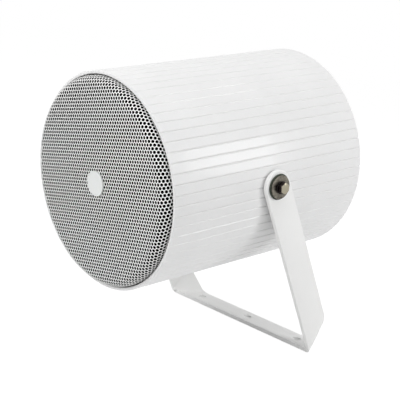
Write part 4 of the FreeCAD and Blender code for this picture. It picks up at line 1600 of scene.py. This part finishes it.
@dataclass
class Studio:
    """A white room with soft light from above, and the photograph's point of view, in metres."""

    position: tuple[float, float, float] = (0.7557, -0.8088, 0.2936)
    azimuth: float = 46.7
    fall: float = 9.06
    roll: float = 9.87
    lens: float = 97.0
    sensor: float = 36.0
    farthest: float = 50.0
    lit_point: tuple[float, float, float] = (0.0, -0.1, 0.15)
    ambient: float = 0.325
    floor_level: float = -0.0006
    floor_reach: float = 12.0
    floor_glow: float = 0.95

    @staticmethod
    def stand(made: bpy.types.Object, place: tuple[float, float, float], axes: np.ndarray) -> None:
        """Put a camera or a lamp in its place, with its X, Y and Z axes as columns."""
        made.matrix_world = Matrix.Translation(place) @ Matrix(axes.tolist()).to_4x4()

    def camera(self) -> None:
        """Set up the camera from its place, its two angles of view and its roll."""
        azimuth, fall, roll = np.radians([self.azimuth, self.fall, self.roll])
        level = np.array([math.cos(azimuth), math.sin(azimuth), 0.0])
        ahead = np.array([-math.sin(azimuth), math.cos(azimuth), 0.0])
        forward = ahead * math.cos(fall) - np.array([0.0, 0.0, math.sin(fall)])
        right = math.cos(roll) * level + math.sin(roll) * np.cross(level, forward)
        data = bpy.data.cameras.new("camera")
        data.lens = self.lens
        data.sensor_width = self.sensor
        data.clip_end = self.farthest
        made = linked("camera", data)
        self.stand(made, self.position, np.stack([right, np.cross(right, forward), -forward], 1))
        bpy.context.scene.camera = made

    @staticmethod
    def by_sight(
        tree: bpy.types.NodeTree, lighting: bpy.types.Node, seen: bpy.types.Node,
    ) -> bpy.types.NodeSocket:
        """Use one shader to light the part and another one where the eye meets it.

        The eye's rays are those of the camera and those that glossy or clear surfaces send.

        Args:
            tree: The node tree.
            lighting: The shader that sends light to the part.
            seen: The shader that is seen.

        Returns:
            The socket of both.
        """
        path = add(tree, "LightPath").outputs
        eye = {0: path["Is Camera Ray"], 1: path["Is Glossy Ray"]}
        glossy = add(tree, "Math", eye, operation="MAXIMUM")
        eye = {0: glossy.outputs[0], 1: path["Is Transmission Ray"]}
        share = add(tree, "Math", eye, operation="MAXIMUM")
        mix = {0: share.outputs[0], 1: lighting.outputs[0], 2: seen.outputs[0]}
        return add(tree, "MixShader", mix).outputs[0]

    def world(self) -> None:
        """Give the room its even light, and pure white where it is seen."""
        world = bpy.data.worlds.new("room")
        tree = empty_tree(world)
        soft = add(tree, "Background", {"Color": linear("FFFFFF"), "Strength": self.ambient})
        white = add(tree, "Background", {"Color": linear("FFFFFF"), "Strength": 1.0})
        add(tree, "OutputWorld", {"Surface": self.by_sight(tree, soft, white)})
        bpy.context.scene.world = world

    def floor(self) -> None:
        """Lay a wide white floor.

        It lights the part as white paper does, and is seen as a glow that hides all but the
        faint shadow of the bracket.
        """
        corners = np.array([[-1, -1, 0], [1, -1, 0], [1, 1, 0], [-1, 1, 0]]) * self.floor_reach
        mesh = bpy.data.meshes.new("floor")
        mesh.from_pydata((corners + (0, 0, self.floor_level)).tolist(), [], [[0, 1, 2, 3]])
        material = bpy.data.materials.new("floor_paper")
        tree = empty_tree(material)
        paper = add(tree, "BsdfDiffuse", {"Color": linear("EAEAEA")})
        shaded = add(tree, "BsdfDiffuse", {"Color": linear("6C6C6C")})
        glow = add(tree, "Emission", {"Color": linear("FFFFFF"), "Strength": self.floor_glow})
        lit = add(tree, "AddShader", {0: shaded.outputs[0], 1: glow.outputs[0]})
        add(tree, "OutputMaterial", {"Surface": self.by_sight(tree, paper, lit)})
        mesh.materials.append(material)
        linked("floor", mesh)

    def hang(self, lamp: Lamp) -> None:
        """Hang a lamp so that it looks at the middle of the part.

        Args:
            lamp: The lamp.
        """
        data = bpy.data.lights.new(lamp.name, "AREA")
        data.size = lamp.size
        data.energy = lamp.power
        towards = unit(np.array(lamp.place) - self.lit_point)
        side = unit(np.cross([0.0, 0.0, 1.0], towards))
        axes = np.stack([side, np.cross(towards, side), towards], 1)
        self.stand(linked(lamp.name, data), lamp.place, axes)

    def build(self) -> None:
        """Set up camera, light and floor."""
        bpy.context.scene.view_settings.view_transform = "Standard"
        self.camera()
        self.world()
        self.floor()
        for lamp in LAMPS:
            self.hang(lamp)


def read_head(frame: dict) -> HeadFrame:
    """Find the head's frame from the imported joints."""
    joints = {joint["name"]: joint for joint in frame["joints"]}
    return HeadFrame(np.array(joints["tilt"]["pos_m"]), -np.array(joints["cone_travel"]["axis"]))


def main() -> None:
    """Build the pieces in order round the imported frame."""
    logging.basicConfig(level=logging.INFO, format="%(name)s: %(message)s")
    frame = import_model()
    shop = Workshop(frame, read_head(frame))
    Studio().build()
    assemblies = (HousingTube(), Grille(), FoldedBar(), PivotHardware(), BackCover(), Suspension())
    for assembly in assemblies:
        assembly.build(shop)
    shop.dress_kept_nodes()


if __name__ == "__main__":
    main()
